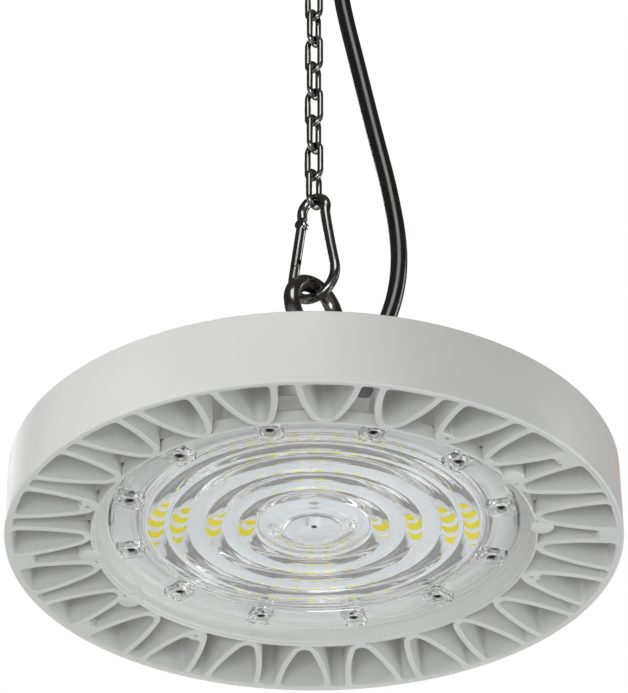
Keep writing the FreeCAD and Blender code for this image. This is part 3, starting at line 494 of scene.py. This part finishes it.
# ---------------------------------------------------------------- housing
# One casting: rim wall, looped fins, inner ring and back plate, with every
# edge of the fins eased and their walls drafted.
R_RIM, R_POCK, R_RING, R_CORE = 170.0, 165.8, 122.9, 112.0
TOP_FIN, TOP_RIM = 29.0, 43.0


def z_low(R):
    return 0.4 + (166.0 - R) / 43.0 * 4.6


def z_roof(R):
    return 24.0 + (R - 123.0) / 43.0 * 1.8


def fin_outline(offset):
    """Half outline of a fin's pocket, or of its outer wall, as (x, y)."""
    c, rt = 131.3, 4.4
    M, E = np.array((146.0, 9.75)), np.array((165.8, 13.35))
    best = None
    for i in range(600, 900):
        a = A(i / 10.0)
        Tp = np.array((c - rt * math.cos(a), rt * math.sin(a)))
        # circle through three points
        ax, ay, bx, by, cx, cy = *Tp, *M, *E
        d = 2 * (ax * (by - cy) + bx * (cy - ay) + cx * (ay - by))
        ux = ((ax * ax + ay * ay) * (by - cy) + (bx * bx + by * by) * (cy - ay) + (cx * cx + cy * cy) * (ay - by)) / d
        uy = ((ax * ax + ay * ay) * (cx - bx) + (bx * bx + by * by) * (ax - cx) + (cx * cx + cy * cy) * (bx - ax)) / d
        C = np.array((ux, uy))
        t = np.array((-(Tp - C)[1], (Tp - C)[0]))
        t /= np.linalg.norm(t)
        g = np.array((math.sin(a), math.cos(a)))
        err = min(np.linalg.norm(t - g), np.linalg.norm(t + g))
        if best is None or err < best[0]:
            best = (err, a, Tp, C)
    err, a, Tp, C = best
    rad = np.linalg.norm(Tp - C)
    s = -1.0 if (Tp - C)[1] < 0 else 1.0
    pts = []
    for k in range(0, 19):
        w = a * k / 18.0
        pts.append((c - (rt + offset) * math.cos(w), (rt + offset) * math.sin(w)))
    w0 = math.atan2(*(Tp - C)[::-1])
    w1 = math.atan2(*((E + (E - M) * 0.25) - C)[::-1])
    rr = rad + s * offset
    for k in range(1, 40):
        w = w0 + (w1 - w0) * k / 39.0
        pts.append((C[0] + rr * math.cos(w), C[1] + rr * math.sin(w)))
    return np.array(pts)


_IN, _OUT = fin_outline(0.0), fin_outline(3.7)
_RO, _TO = np.hypot(_OUT[:, 0], _OUT[:, 1]), np.arctan2(_OUT[:, 1], _OUT[:, 0])
_RI, _TI = np.hypot(_IN[:, 0], _IN[:, 1]), np.arctan2(_IN[:, 1], _IN[:, 0])
HALF = A(7.5)


def eased(w, d, r):
    """Width w pulled in near an end at distance d, as a corner of radius r."""
    return w - r + math.sqrt(max(0.0, r * r - (r - d) ** 2)) if d < r else w


def span(lo, hi, n, ends=7, r=2.6):
    """Radii from lo to hi, closer together near the rounded ends."""
    a = [lo + r * (1 - math.cos(math.pi / 2 * k / ends)) for k in range(ends)]
    b = [hi - r * (1 - math.cos(math.pi / 2 * k / ends)) for k in range(ends)][::-1]
    m = np.linspace(lo + r, hi - r, n)
    return np.array(a + list(m) + b)


def pocket_loop(start=None, notch=False):
    """A fin's pocket as (R, half angle) rows and a closed list of (R, angle)."""
    if start is None:
        Rs = np.concatenate([_RI[:19], span(_RI[18] + 0.6, R_POCK, 18, 7, 2.8)[7:]])
        rows = []
        for R in Rs:
            w = R * float(np.interp(R, _RI, _TI))
            rows.append((R, eased(w, R_POCK - R, 2.8) / R))
    else:
        Rs = span(start, R_POCK, 18, 6, 2.0)
        rows = []
        for R in Rs:
            w = R * float(np.interp(R, _RI, _TI))
            w = eased(w, R - start, 1.6)
            rows.append((R, eased(w, R_POCK - R, 2.8) / R))
    up = [(R, t) for R, t in rows]
    loop = [(R, -t) for R, t in rows[::-1]]
    if start is not None:
        for u in (-0.55, -0.3, -0.12, 0.12, 0.3, 0.55):
            loop.append((start + (1.1 if abs(u) < 0.2 else 0.0), u * rows[0][1]))
    loop += up[(1 if rows[0][1] < 1e-9 else 0):]
    end_t = rows[-1][1]
    for u in (0.6, 0.2, -0.2, -0.6):
        loop.append((R_POCK, u * end_t))
    return loop


def gap_loop(lo, hi, stem=None, wavy=False, r_in=2.2):
    """A gap between two fins as a closed list of (R, angle)."""
    Rs = span(lo, hi, 20, 7, 2.4)
    rows = []
    for R in Rs:
        tf = float(np.interp(R, _RO, _TO)) if R > _RO[0] else 0.0
        if stem is not None and R < 128.0:
            tf = max(tf, stem / R)
        w = R * (HALF - tf)
        w = eased(w, R - lo, r_in)
        w = eased(w, hi - R, 2.4)
        rows.append((R, w / R))
    loop = [(R, -t) for R, t in rows[::-1]]
    t0 = rows[0][1]
    for u in (-0.75, -0.5, -0.25, 0.0, 0.25, 0.5, 0.75):
        loop.append((lo, u * t0))
    loop += rows
    t1 = rows[-1][1]
    for u in (0.7, 0.35, 0.0, -0.35, -0.7):
        loop.append((hi + (1.5 * math.cos(u * math.pi * 1.9) - 0.4 if wavy else 0.0), u * t1))
    return loop


def to_xy(loop, centre):
    return np.array([(R * math.cos(A(centre) + t), R * math.sin(A(centre) + t)) for R, t in loop])


def tidy(P, tol=0.05):
    keep = [P[0]]
    for p in P[1:]:
        if np.linalg.norm(p - keep[-1]) > tol:
            keep.append(p)
    if np.linalg.norm(keep[0] - keep[-1]) < tol:
        keep.pop()
    return np.array(keep)


def normals2d(P):
    """Outward normals of a closed outline, counter-clockwise or not."""
    d = np.roll(P, -1, 0) - np.roll(P, 1, 0)
    n = np.stack([d[:, 1], -d[:, 0]], 1)
    n /= np.linalg.norm(n, axis=1)[:, None]
    x, y = P[:, 0], P[:, 1]
    area = 0.5 * np.sum(x * np.roll(y, -1) - np.roll(x, -1) * y)
    return n if area > 0 else -n


def inside(poly, pts):
    x, y = pts[:, 0], pts[:, 1]
    res = np.zeros(len(pts), bool)
    n = len(poly)
    for i in range(n):
        x0, y0 = poly[i]
        x1, y1 = poly[(i + 1) % n]
        hit = ((y0 > y) != (y1 > y)) & (x < (x1 - x0) * (y - y0) / (y1 - y0 + 1e-12) + x0)
        res ^= hit
    return res


def land(b, outer_r, inner_r, loops, zf, down, mat=0, mids=()):
    """The flat metal between loops: an annulus with holes."""
    pts, edges = [], []

    def ring(P):
        k = len(pts)
        pts.extend([Vector((float(p[0]), float(p[1]))) for p in P])
        edges.extend([(k + i, k + (i + 1) % len(P)) for i in range(len(P))])
    for r, n in ((outer_r, 432), (inner_r, 360)):
        ring([(r * math.cos(2 * math.pi * i / n), r * math.sin(2 * math.pi * i / n)) for i in range(n)])
    for P in loops:
        ring(P)
    v, e, f, *_ = delaunay_2d_cdt(pts, edges, [], 0, 1e-5)
    V = np.array([(p.x, p.y) for p in v])
    F = np.array([t for t in f if len(t) == 3])
    C = V[F].mean(1)
    R = np.hypot(C[:, 0], C[:, 1])
    keep = (R < outer_r * math.cos(math.pi / 432) + 0.01) & (R > inner_r * math.cos(math.pi / 360) - 0.01)
    ang = np.arctan2(C[:, 1], C[:, 0])
    for P in loops:
        c = P.mean(0)
        a = math.atan2(c[1], c[0])
        near = keep & (np.abs((ang - a + math.pi) % (2 * math.pi) - math.pi) < A(14))
        idx = np.where(near)[0]
        if len(idx):
            keep[idx[inside(P, C[idx])]] = False
    F = F[keep]
    a = V[F[:, 0]]
    cross = np.cross(V[F[:, 1]] - a, V[F[:, 2]] - a)
    flip = (cross > 0) if down else (cross < 0)
    F[flip] = F[flip][:, ::-1]
    Rv = np.hypot(V[:, 0], V[:, 1])
    used = np.unique(F)
    remap = -np.ones(len(V), int)
    remap[used] = np.arange(len(used))
    b.add([(V[i, 0], V[i, 1], zf(Rv[i])) for i in used], [tuple(remap[t]) for t in F], mat)


def lip_and_wall(b, P, zf, depth_fn, r=0.7, draft=0.022, steps=5, deep=3, sign=1.0, mat=0):
    """Eased edge and drafted wall that run from the land into an opening.
    sign +1 goes up from the lower land, -1 goes down from the upper land."""
    N = normals2d(P)
    n = len(P)
    Rv = np.hypot(P[:, 0], P[:, 1])
    rows = []
    for k in range(steps + 1):
        a = math.pi / 2 * k / steps
        off = r * (1 - math.sin(a))
        Q = P + N * off
        rows.append((Q, zf(Rv) + sign * r * (1 - math.cos(a))))
    target = depth_fn(Rv)
    z0 = rows[-1][1]
    for k in range(1, deep + 1):
        z = z0 + (target - z0) * k / deep
        rows.append((P - N * draft * np.abs(z - z0)[:, None], z))
    verts = [(q[0], q[1], z) for Q, Z in rows for q, z in zip(Q, Z)]
    faces = []
    x, y = P[:, 0], P[:, 1]
    ccw = 0.5 * np.sum(x * np.roll(y, -1) - np.roll(x, -1) * y) > 0
    for k in range(len(rows) - 1):
        for i in range(n):
            j = (i + 1) % n
            q = (k * n + i, k * n + j, (k + 1) * n + j, (k + 1) * n + i)
            if (ccw and sign > 0) or (not ccw and sign < 0):
                q = q[::-1]
            faces.append(q)
    b.add(verts, faces, mat)
    return rows


def housing():
    b = Build()
    pockets, gaps_low, gaps_top, holes = [], [], [], []
    solid_tip = {17.5, 122.5, 197.5, 302.5}
    for k in range(24):
        c = 2.5 + 15.0 * k
        loop = pocket_loop(132.6) if c in solid_tip else pocket_loop()
        pockets.append(tidy(to_xy(loop, c)))
        if c in solid_tip:
            x, y, _ = polar_pt(128.4, c)
            holes.append(np.array([(x + 1.35 * math.cos(2 * math.pi * i / 16), y + 1.35 * math.sin(2 * math.pi * i / 16)) for i in range(16)]))
    boss = {145.0: 1, 175.0: -1, 325.0: 1, 355.0: -1}
    gap_c = [10.0 + 15.0 * k for k in range(24)]
    for c in gap_c:
        w = c in boss
        gaps_low.append(tidy(to_xy(gap_loop(123.3, 156.4 if w else R_POCK, None, w), c)))
        gaps_top.append(tidy(to_xy(gap_loop(R_CORE + 1.0, 156.4 if w else R_POCK, 5.6, w), c)))
    r = 0.7
    low_all = [P + normals2d(P) * r for P in pockets + gaps_low] + [P + normals2d(P) * 0.25 for P in holes]
    land(b, 166.3, 122.3, low_all, z_low, True)
    for P in pockets:
        rows = lip_and_wall(b, P, z_low, z_roof, r, 0.03)
        # the roof, closed by a fan
        Q, Z = rows[-1]
        c = Q.mean(0)
        n = len(Q)
        x, y = P[:, 0], P[:, 1]
        ccw = 0.5 * np.sum(x * np.roll(y, -1) - np.roll(x, -1) * y) > 0
        inner = c + (Q - c) * 0.9
        verts = [(q[0], q[1], z) for q, z in zip(Q, Z)] + [(q[0], q[1], z + 0.9) for q, z in zip(inner, Z)] + [(c[0], c[1], float(np.mean(Z)) + 0.9)]
        faces = []
        for i in range(n):
            j = (i + 1) % n
            q = (i, j, n + j, n + i)
            t = (n + i, n + j, 2 * n)
            faces.append(q if not ccw else q[::-1])
            faces.append(t if not ccw else t[::-1])
        b.add(verts, faces)
    for P in gaps_low:
        Rv = np.hypot(P[:, 0], P[:, 1])

        def deep_to(Rr):
            return np.where(Rr < 126.0, 12.6, TOP_FIN - 0.5)
        lip_and_wall(b, P, z_low, deep_to, r, 0.02)
    for P in holes:
        lip_and_wall(b, P, z_low, lambda Rr: Rr * 0 + TOP_FIN, 0.25, 0.0, 2, 1)
    # upper side
    top = lambda R: R * 0 + TOP_FIN
    land(b, 166.0, R_CORE + 0.2, [P + normals2d(P) * 0.6 for P in gaps_top] + holes, lambda R: TOP_FIN, False)
    for P in gaps_top:
        def down_to(Rr):
            return np.where(Rr < 127.5, np.interp(Rr, [112.0, 114.5, 120.5, 122.2, 127.5], [20.0, 18.6, 14.6, 13.0, 12.0]), 27.0)
        lip_and_wall(b, P, lambda Rr: Rr * 0 + TOP_FIN, down_to, 0.6, 0.0, 4, 2, sign=-1.0)
    # rim wall
    prof = [(166.3, z_low(166.3)), (166.9, 0.3), (167.9, 0.26), (168.1, 0.16), (168.25, 0.03), (168.5, 0.0), (168.9, 0.0), (169.3, 0.08), (169.65, 0.28), (169.88, 0.6), (169.98, 1.0),
            (170.0, 1.4), (170.0, 22.0), (170.0, 41.8), (169.95, 42.3), (169.75, 42.7), (169.4, 42.93), (168.9, 43.0), (167.0, 43.0), (166.5, 42.9), (166.1, 42.6), (165.9, 42.1),
            (165.9, 30.6), (165.6, 29.7), (164.8, 29.0)]
    v, f = revolve(prof, 432, closed=False)
    b.add(v, f)
    # inner ring, back plate and the seat of the lens
    prof = [(0.0, 22.0), (98.3, 22.0), (98.5, 21.8), (98.5, 17.6), (98.7, 17.4), (114.2, 17.4), (114.3, 17.3), (114.3, 15.5), (114.4, 15.25), (114.75, 15.1), (116.7, 15.0),
            (117.0, 14.95), (117.2, 14.8), (117.3, 14.3), (117.45, 14.1), (117.8, 14.0), (119.2, 13.6), (119.9, 13.2), (120.3, 12.5), (120.45, 11.6), (120.5, 9.0),
            (120.5, 8.2), (120.55, 7.75), (120.75, 7.45), (121.25, 7.3), (121.45, 7.1), (121.55, 6.7), (121.6, 5.9), (121.8, 5.4), (122.3, z_low(122.3)),
            ]
    v, f = revolve(prof, 360, closed=False)
    b.add(v, f)
    prof = [(122.6, 12.4), (122.3, 13.2), (121.6, 14.2), (120.5, 15.1), (114.7, 19.4), (113.2, 20.3), (112.5, 20.9), (112.2, 21.8), (112.1, 27.0), (112.2, 29.0)]
    v, f = revolve(prof, 360, closed=False)
    b.add(v, f)
    prof = [(112.9, 29.0), (110.6, 29.0), (110.0, 28.8), (109.4, 27.4), (108.6, 27.0), (0.0, 27.0)]
    v, f = revolve(prof, 360, closed=False)
    b.add(v, f)
    # round bosses at the inner ring
    for c, side in boss.items():
        x, y, _ = polar_pt(125.6, c + side * 2.2)
        prof = [(0.0, 4.8), (5.7, 4.85), (6.2, 5.05), (6.5, 5.5), (6.6, 6.1), (6.65, 12.0), (6.7, 18.2), (6.2, 19.0), (0.0, 19.2)]
        v, f = revolve(prof, 40, closed=False)
        b.add([(p[0] + x, p[1] + y, p[2]) for p in v], f)
    o = b.done("housing_casting", [COAT], "luminaire", ["housing"], sharp=38)
    return o


housing()

# ------------------------------------------------------------------- LEDs
LED_RINGS = ((87.4, 48, 0.5), (75.0, 42, 4.0), (55.6, 32, 2.0), (37.3, 20, 5.0))


def leds():
    b = Build()
    z0 = 20.0
    for r, n, a0 in LED_RINGS:
        for i in range(n):
            a = a0 + 360.0 * i / n
            c, s = math.cos(A(a)), math.sin(A(a))

            def put(pts):
                return [((r + x) * c - y * s, (r + x) * s + y * c, z) for x, y, z in pts]

            def sq(w, z, extra=0.90):
                h = w + extra
                return [(-w, -h, z), (w, -h, z), (w, h, z), (-w, h, z)]
            v = put(sq(2.60, z0) + sq(2.60, z0 - 0.55) + sq(2.52, z0 - 0.65) + sq(2.40, z0 - 0.65))
            f = [(0, 1, 2, 3)]
            for k in range(3):
                for j in range(4):
                    f.append((k * 4 + j, (k + 1) * 4 + j, (k + 1) * 4 + (j + 1) % 4, k * 4 + (j + 1) % 4))
            b.add(v, f, 0)
            v = put(sq(2.40, z0 - 0.65) + sq(2.20, z0 - 0.70))
            f = [(j, 4 + j, 4 + (j + 1) % 4, (j + 1) % 4) for j in range(4)] + [(4, 7, 6, 5)]
            b.add(v, f, 1)
    return b.done("led_packages", [LED_BODY, PHOSPHOR], "luminaire", ["leds"], smooth=False)


leds()

# --------------------------------------------------------------- hardware
CHAIN_FIRST, PITCH, BEND, STRAIGHT, WIRE = 236.1, 21.0, 4.65, 15.7, 3.7
for k in range(1, 10):
    BEND, STRAIGHT = (5.25, 14.5) if k == 1 else (4.65, 15.7)
    low = CHAIN_FIRST + PITCH * (k - 1) + BEND
    pts = []
    for i in range(25):
        w = math.pi * i / 24
        pts.append((BEND * math.cos(w), low + STRAIGHT + BEND * math.sin(w)))
    for t in (0.25, 0.5, 0.75):
        pts.append((-BEND, low + STRAIGHT * (1 - t)))
    for i in range(25):
        w = math.pi + math.pi * i / 24
        pts.append((BEND * math.cos(w), low + BEND * math.sin(w)))
    for t in (0.25, 0.5, 0.75):
        pts.append((BEND, low + STRAIGHT * t))
    az = 55.5 if k % 2 else -34.5
    # a weld's slight bead half way up one leg
    P = in_plane(pts, az)
    R = [WIRE / 2 * (1.0 + 0.06 * math.exp(-((p[1] - low - STRAIGHT / 2) / 1.0) ** 2) * (p[0] < 0)) for p in pts]
    v, f = sweep(P, R, 20, closed=True, up=(0, 0, 1))
    add_mesh("link_%d_wire" % k, v, f, CHROME, "link_%d" % k, ["chain_link_%d" % k])

# Eye bolt: the forged eye, its neck and collar.
b = Build()
pts = [(18.0 * math.cos(2 * math.pi * i / 96), 159.85 + 18.0 * math.sin(2 * math.pi * i / 96)) for i in range(96)]
v, f = sweep(in_plane(pts, 45.0), 5.0, 28, closed=True)
b.add(v, f)
v, f = revolve([(0.0, 92.0), (4.3, 92.0), (5.0, 92.8), (5.0, 116.0), (11.0, 116.0), (11.5, 116.5), (11.5, 121.5), (11.2, 122.0), (10.4, 122.3),
                (8.0, 123.4), (6.8, 125.0), (5.8, 128.0), (5.6, 131.0), (5.9, 134.5), (6.4, 137.5), (6.0, 139.5), (0.0, 140.0)], 48, closed=False)
b.add(v, f)
b.done("eye_bolt_forging", [CHROME], "luminaire", ["eye_bolt"], sharp=40)

# Carabiner body.
clip = [(-8.35, 228.9), (-8.5, 230.6)]
for a in (176, 160, 140, 115, 90, 65, 40, 20, 4):
    clip.append((8.6 * math.cos(A(a)), 232.75 + 8.55 * math.sin(A(a))))
clip += [(8.1, 229.6), (8.6, 224.6), (10.1, 214.5), (12.1, 202.5), (14.0, 192.0)]
for a in (8, -10, -30, -50, -70, -90, -110, -130, -150, -170, -188):
    clip.append((15.0 * math.cos(A(a)), 184.5 + 15.0 * math.sin(A(a))))
clip += [(-14.3, 191.0), (-13.6, 195.2)]
P = smooth_path(in_plane(clip, -34.5), 6)
b = Build()
v, f = sweep(P, 3.05, 24, cap=0.12, up=(math.sin(A(34.5)), math.cos(A(34.5)), 0))
b.add(v, f)
UC = np.array((math.cos(A(-34.5)), math.sin(A(-34.5)), 0.0))
NC = np.array((-UC[1], UC[0], 0.0))


def disc_prism(cs, cz, r, half, n=32, bev=0.25):
    """A round plate across the carabiner's plane, with eased edges."""
    verts, faces = [], []
    rows = [(r - bev, -half), (r, -half + bev), (r, half - bev), (r - bev, half)]
    for rr, h in rows:
        for i in range(n):
            w = 2 * math.pi * i / n
            p = UC * (cs + rr * math.cos(w)) + NC * h
            verts.append((p[0], p[1], cz + rr * math.sin(w)))
    for k in range(3):
        for i in range(n):
            faces.append((k * n + i, k * n + (i + 1) % n, (k + 1) * n + (i + 1) % n, (k + 1) * n + i))
    faces.append(tuple(reversed(range(n))))
    faces.append(tuple(range(3 * n, 4 * n)))
    return verts, faces


def clip_box(s0, s1, z0, z1, half):
    verts = []
    for s in (s0, s1):
        for h in (-half, half):
            for z in (z0, z1):
                p = UC * s + NC * h
                verts.append((p[0], p[1], z))
    faces = [(0, 1, 3, 2), (4, 6, 7, 5), (0, 4, 5, 1), (2, 3, 7, 6), (0, 2, 6, 4), (1, 5, 7, 3)]
    return verts, faces


v, f = disc_prism(-8.9, 225.2, 2.9, 1.1)
b.add(v, f)
v, f = clip_box(-10.9, -6.4, 225.6, 230.4, 1.1)
b.add(v, f)
v, f = clip_box(-15.4, -11.4, 194.6, 198.8, 1.0)
b.add(v, f)
b.done("carabiner_wire", [CHROME], "carabiner", ["carabiner_body"], sharp=45)

# ------------------------------------------------------------- supply cable
CABLE = [(38.0, 0.0, 108.6), (38.0, 0.0, 140.0), (48.5, 0.0, 172.0), (51.0, 0.0, 205.0),
         (45.5, 0.0, 248.0), (37.5, 0.0, 288.0), (27.5, 0.0, 342.0), (17.5, 0.0, 395.0),
         (15.6, 0.0, 423.0), (17.2, 0.0, 450.0)]


def quad_bspline(pts, per=16):
    """A clamped quadratic B-spline through mid-points of the route's runs."""
    P = [np.array(p, float) for p in pts]
    out = [P[0]]
    n = len(P)
    for i in range(1, n - 1):
        a = P[0] if i == 1 else (P[i - 1] + P[i]) / 2
        c = P[-1] if i == n - 2 else (P[i] + P[i + 1]) / 2
        for k in range(1, per + 1):
            t = k / per
            out.append((1 - t) ** 2 * a + 2 * t * (1 - t) * P[i] + t * t * c)
    return np.array(out)


route = quad_bspline(CABLE)
v, f = sweep(route, 5.0, 24, cap=0.06, up=(0, 1, 0))
cable = add_mesh("supply_cable_run", v, f, JACKET, None)
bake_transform(cable)
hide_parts("supply_cable")

# ------------------------------------------------------- carried-over CAD nodes
DRESS = {
    "lens_seal": SILICONE, "lens_screws": SCREW, "led_board": BOARD, "thermal_pad": PAD_MAT,
    "board_screws": LED_BODY, "centre_screw": CENTRE, "driver_cover": DARK_CAN, "cover_gasket": SILICONE, "cover_screws": ZINC,
    "driver": PLAIN_AL, "driver_screws": ZINC, "terminal_block": TERMINAL, "terminal_screws": ZINC, "driver_wires": WIRE_RED,
    "led_wires": WIRE_PALE, "eye_washer": ZINC, "eye_lock_nut": ZINC, "cable_gland_body": NYLON, "cable_gland_seal": SILICONE,
    "cable_gland_nut": NYLON, "cable_gland_locknut": NYLON, "breather_vent": NYLON, "carabiner_gate": CHROME, "gate_pin": CHROME,
    "gate_spring": SCREW, "ceiling_hook": CHROME, "ceiling_canopy": COAT_STEEL,
}
for name, m in DRESS.items():
    o = NODES[name]
    o.data.materials.clear()
    o.data.materials.append(m)
    if name in ("carabiner_gate", "ceiling_hook", "ceiling_canopy"):
        o.data.polygons.foreach_set("use_smooth", np.full(len(o.data.polygons), True))
        o.data.set_sharp_from_angle(angle=A(38))

# ----------------------------------------------------------------- floor
me = bpy.data.meshes.new("floor")
s = 2.4
me.from_pydata([(-s, -s, 0), (s, -s, 0), (s, s, 0), (-s, s, 0)], [], [(0, 1, 2, 3)])
floor = bpy.data.objects.new("floor", me)
floor.location = (0, 0, -2.2)
bpy.context.scene.collection.objects.link(floor)
fm = Mat("studio_floor", (0.86, 0.86, 0.85), 0.6)
fm.link(fm.ramp(fm.noise(1.5, 3.0), [(0.3, (0.84, 0.84, 0.83)), (0.7, (0.88, 0.88, 0.87))]), fm.b.inputs["Base Color"])
me.materials.append(fm.m)

# ----------------------------------------------------------------- lights
def area(name, loc, target, size, power, color=(1, 1, 1), size_y=None):
    l = bpy.data.lights.new(name, "AREA")
    l.energy = power
    l.color = color
    l.shape = "RECTANGLE" if size_y else "SQUARE"
    l.size = size
    if size_y:
        l.size_y = size_y
    o = bpy.data.objects.new(name, l)
    o.location = loc
    o.rotation_euler = (Vector(target) - Vector(loc)).to_track_quat("-Z", "Y").to_euler()
    bpy.context.scene.collection.objects.link(o)
    return o


T = (0, 0, -0.42)
key = area("key_left", (-2.6, -1.7, -0.15), T, 1.3, 45.0, (1.0, 0.985, 0.965))
key.visible_glossy = False
area("front_up", (0.1, -2.2, 1.35), T, 1.5, 16.0, (1.0, 0.99, 0.98), 1.1)
area("front_low", (-0.5, -2.5, -1.45), T, 1.4, 23.5, (0.95, 1.0, 1.0), 0.7)
area("low_left", (-1.5, 0.7, -2.0), T, 1.2, 4.0, (0.95, 1.0, 1.0))
area("low_right", (1.55, 0.4, -1.92), T, 1.2, 24.0, (0.95, 1.0, 1.0))
area("rim_right", (2.3, 0.4, 0.3), T, 0.5, 11.0, (1.0, 0.99, 0.98), 1.4)
area("strip_back", (-1.2, 1.9, 0.2), T, 0.4, 14.0, (1, 1, 1), 1.8)
area("warm_back", (1.25, 2.2, 0.9), (0, 0, -0.25), 0.45, 3.5, (1.0, 0.52, 0.36), 2.0)

world = bpy.data.worlds.new("studio")
bpy.context.scene.world = world
world.use_nodes = True
wt = world.node_tree
bg = wt.nodes["Background"]
bg.inputs["Color"].default_value = (1, 1, 1, 1)
bg.inputs["Strength"].default_value = 1.0
out = wt.nodes["World Output"]
soft = wt.nodes.new("ShaderNodeBackground")
soft.inputs["Strength"].default_value = 0.52
tc = wt.nodes.new("ShaderNodeTexCoord")
sep = wt.nodes.new("ShaderNodeSeparateXYZ")
wt.links.new(tc.outputs["Generated"], sep.inputs[0])
rp = wt.nodes.new("ShaderNodeValToRGB")
e = rp.color_ramp.elements
e.new(0.47)
e.new(0.66)
e[0].position, e[0].color = 0.0, (0.50, 0.515, 0.52, 1)
e[1].position, e[1].color = 0.47, (0.49, 0.50, 0.51, 1)
e[2].position, e[2].color = 0.60, (0.10, 0.10, 0.10, 1)
e[3].position, e[3].color = 1.0, (0.16, 0.16, 0.16, 1)
mr = wt.nodes.new("ShaderNodeMapRange")
mr.inputs["From Min"].default_value = -1
mr.inputs["From Max"].default_value = 1
wt.links.new(sep.outputs["Z"], mr.inputs["Value"])
wt.links.new(mr.outputs["Result"], rp.inputs["Fac"])
wt.links.new(rp.outputs["Color"], soft.inputs["Color"])
lp = wt.nodes.new("ShaderNodeLightPath")
mx = wt.nodes.new("ShaderNodeMixShader")
wt.links.new(lp.outputs["Is Camera Ray"], mx.inputs["Fac"])
wt.links.new(soft.outputs[0], mx.inputs[1])
wt.links.new(bg.outputs[0], mx.inputs[2])
wt.links.new(mx.outputs[0], out.inputs["Surface"])

bpy.context.scene.view_settings.view_transform = "Standard"
bpy.context.scene.view_settings.look = "None"
bpy.context.scene.cycles.max_bounces = 36
bpy.context.scene.cycles.transmission_bounces = 36
bpy.context.scene.cycles.glossy_bounces = 32
bpy.context.scene.cycles.diffuse_bounces = 5
bpy.context.scene.cycles.transparent_max_bounces = 16

# ----------------------------------------------------------------- camera
cam = bpy.data.cameras.new("camera")
cam.sensor_width = 36.0
cam.lens = 2800.0 * 36.0 / 693.0
cam.clip_end = 50.0
co = bpy.data.objects.new("camera", cam)
co.location = fr((0.0, -1341.0, -767.0))
co.rotation_euler = (A(90.0 + 33.93), 0.0, 0.0)
bpy.context.scene.collection.objects.link(co)
bpy.context.scene.camera = co
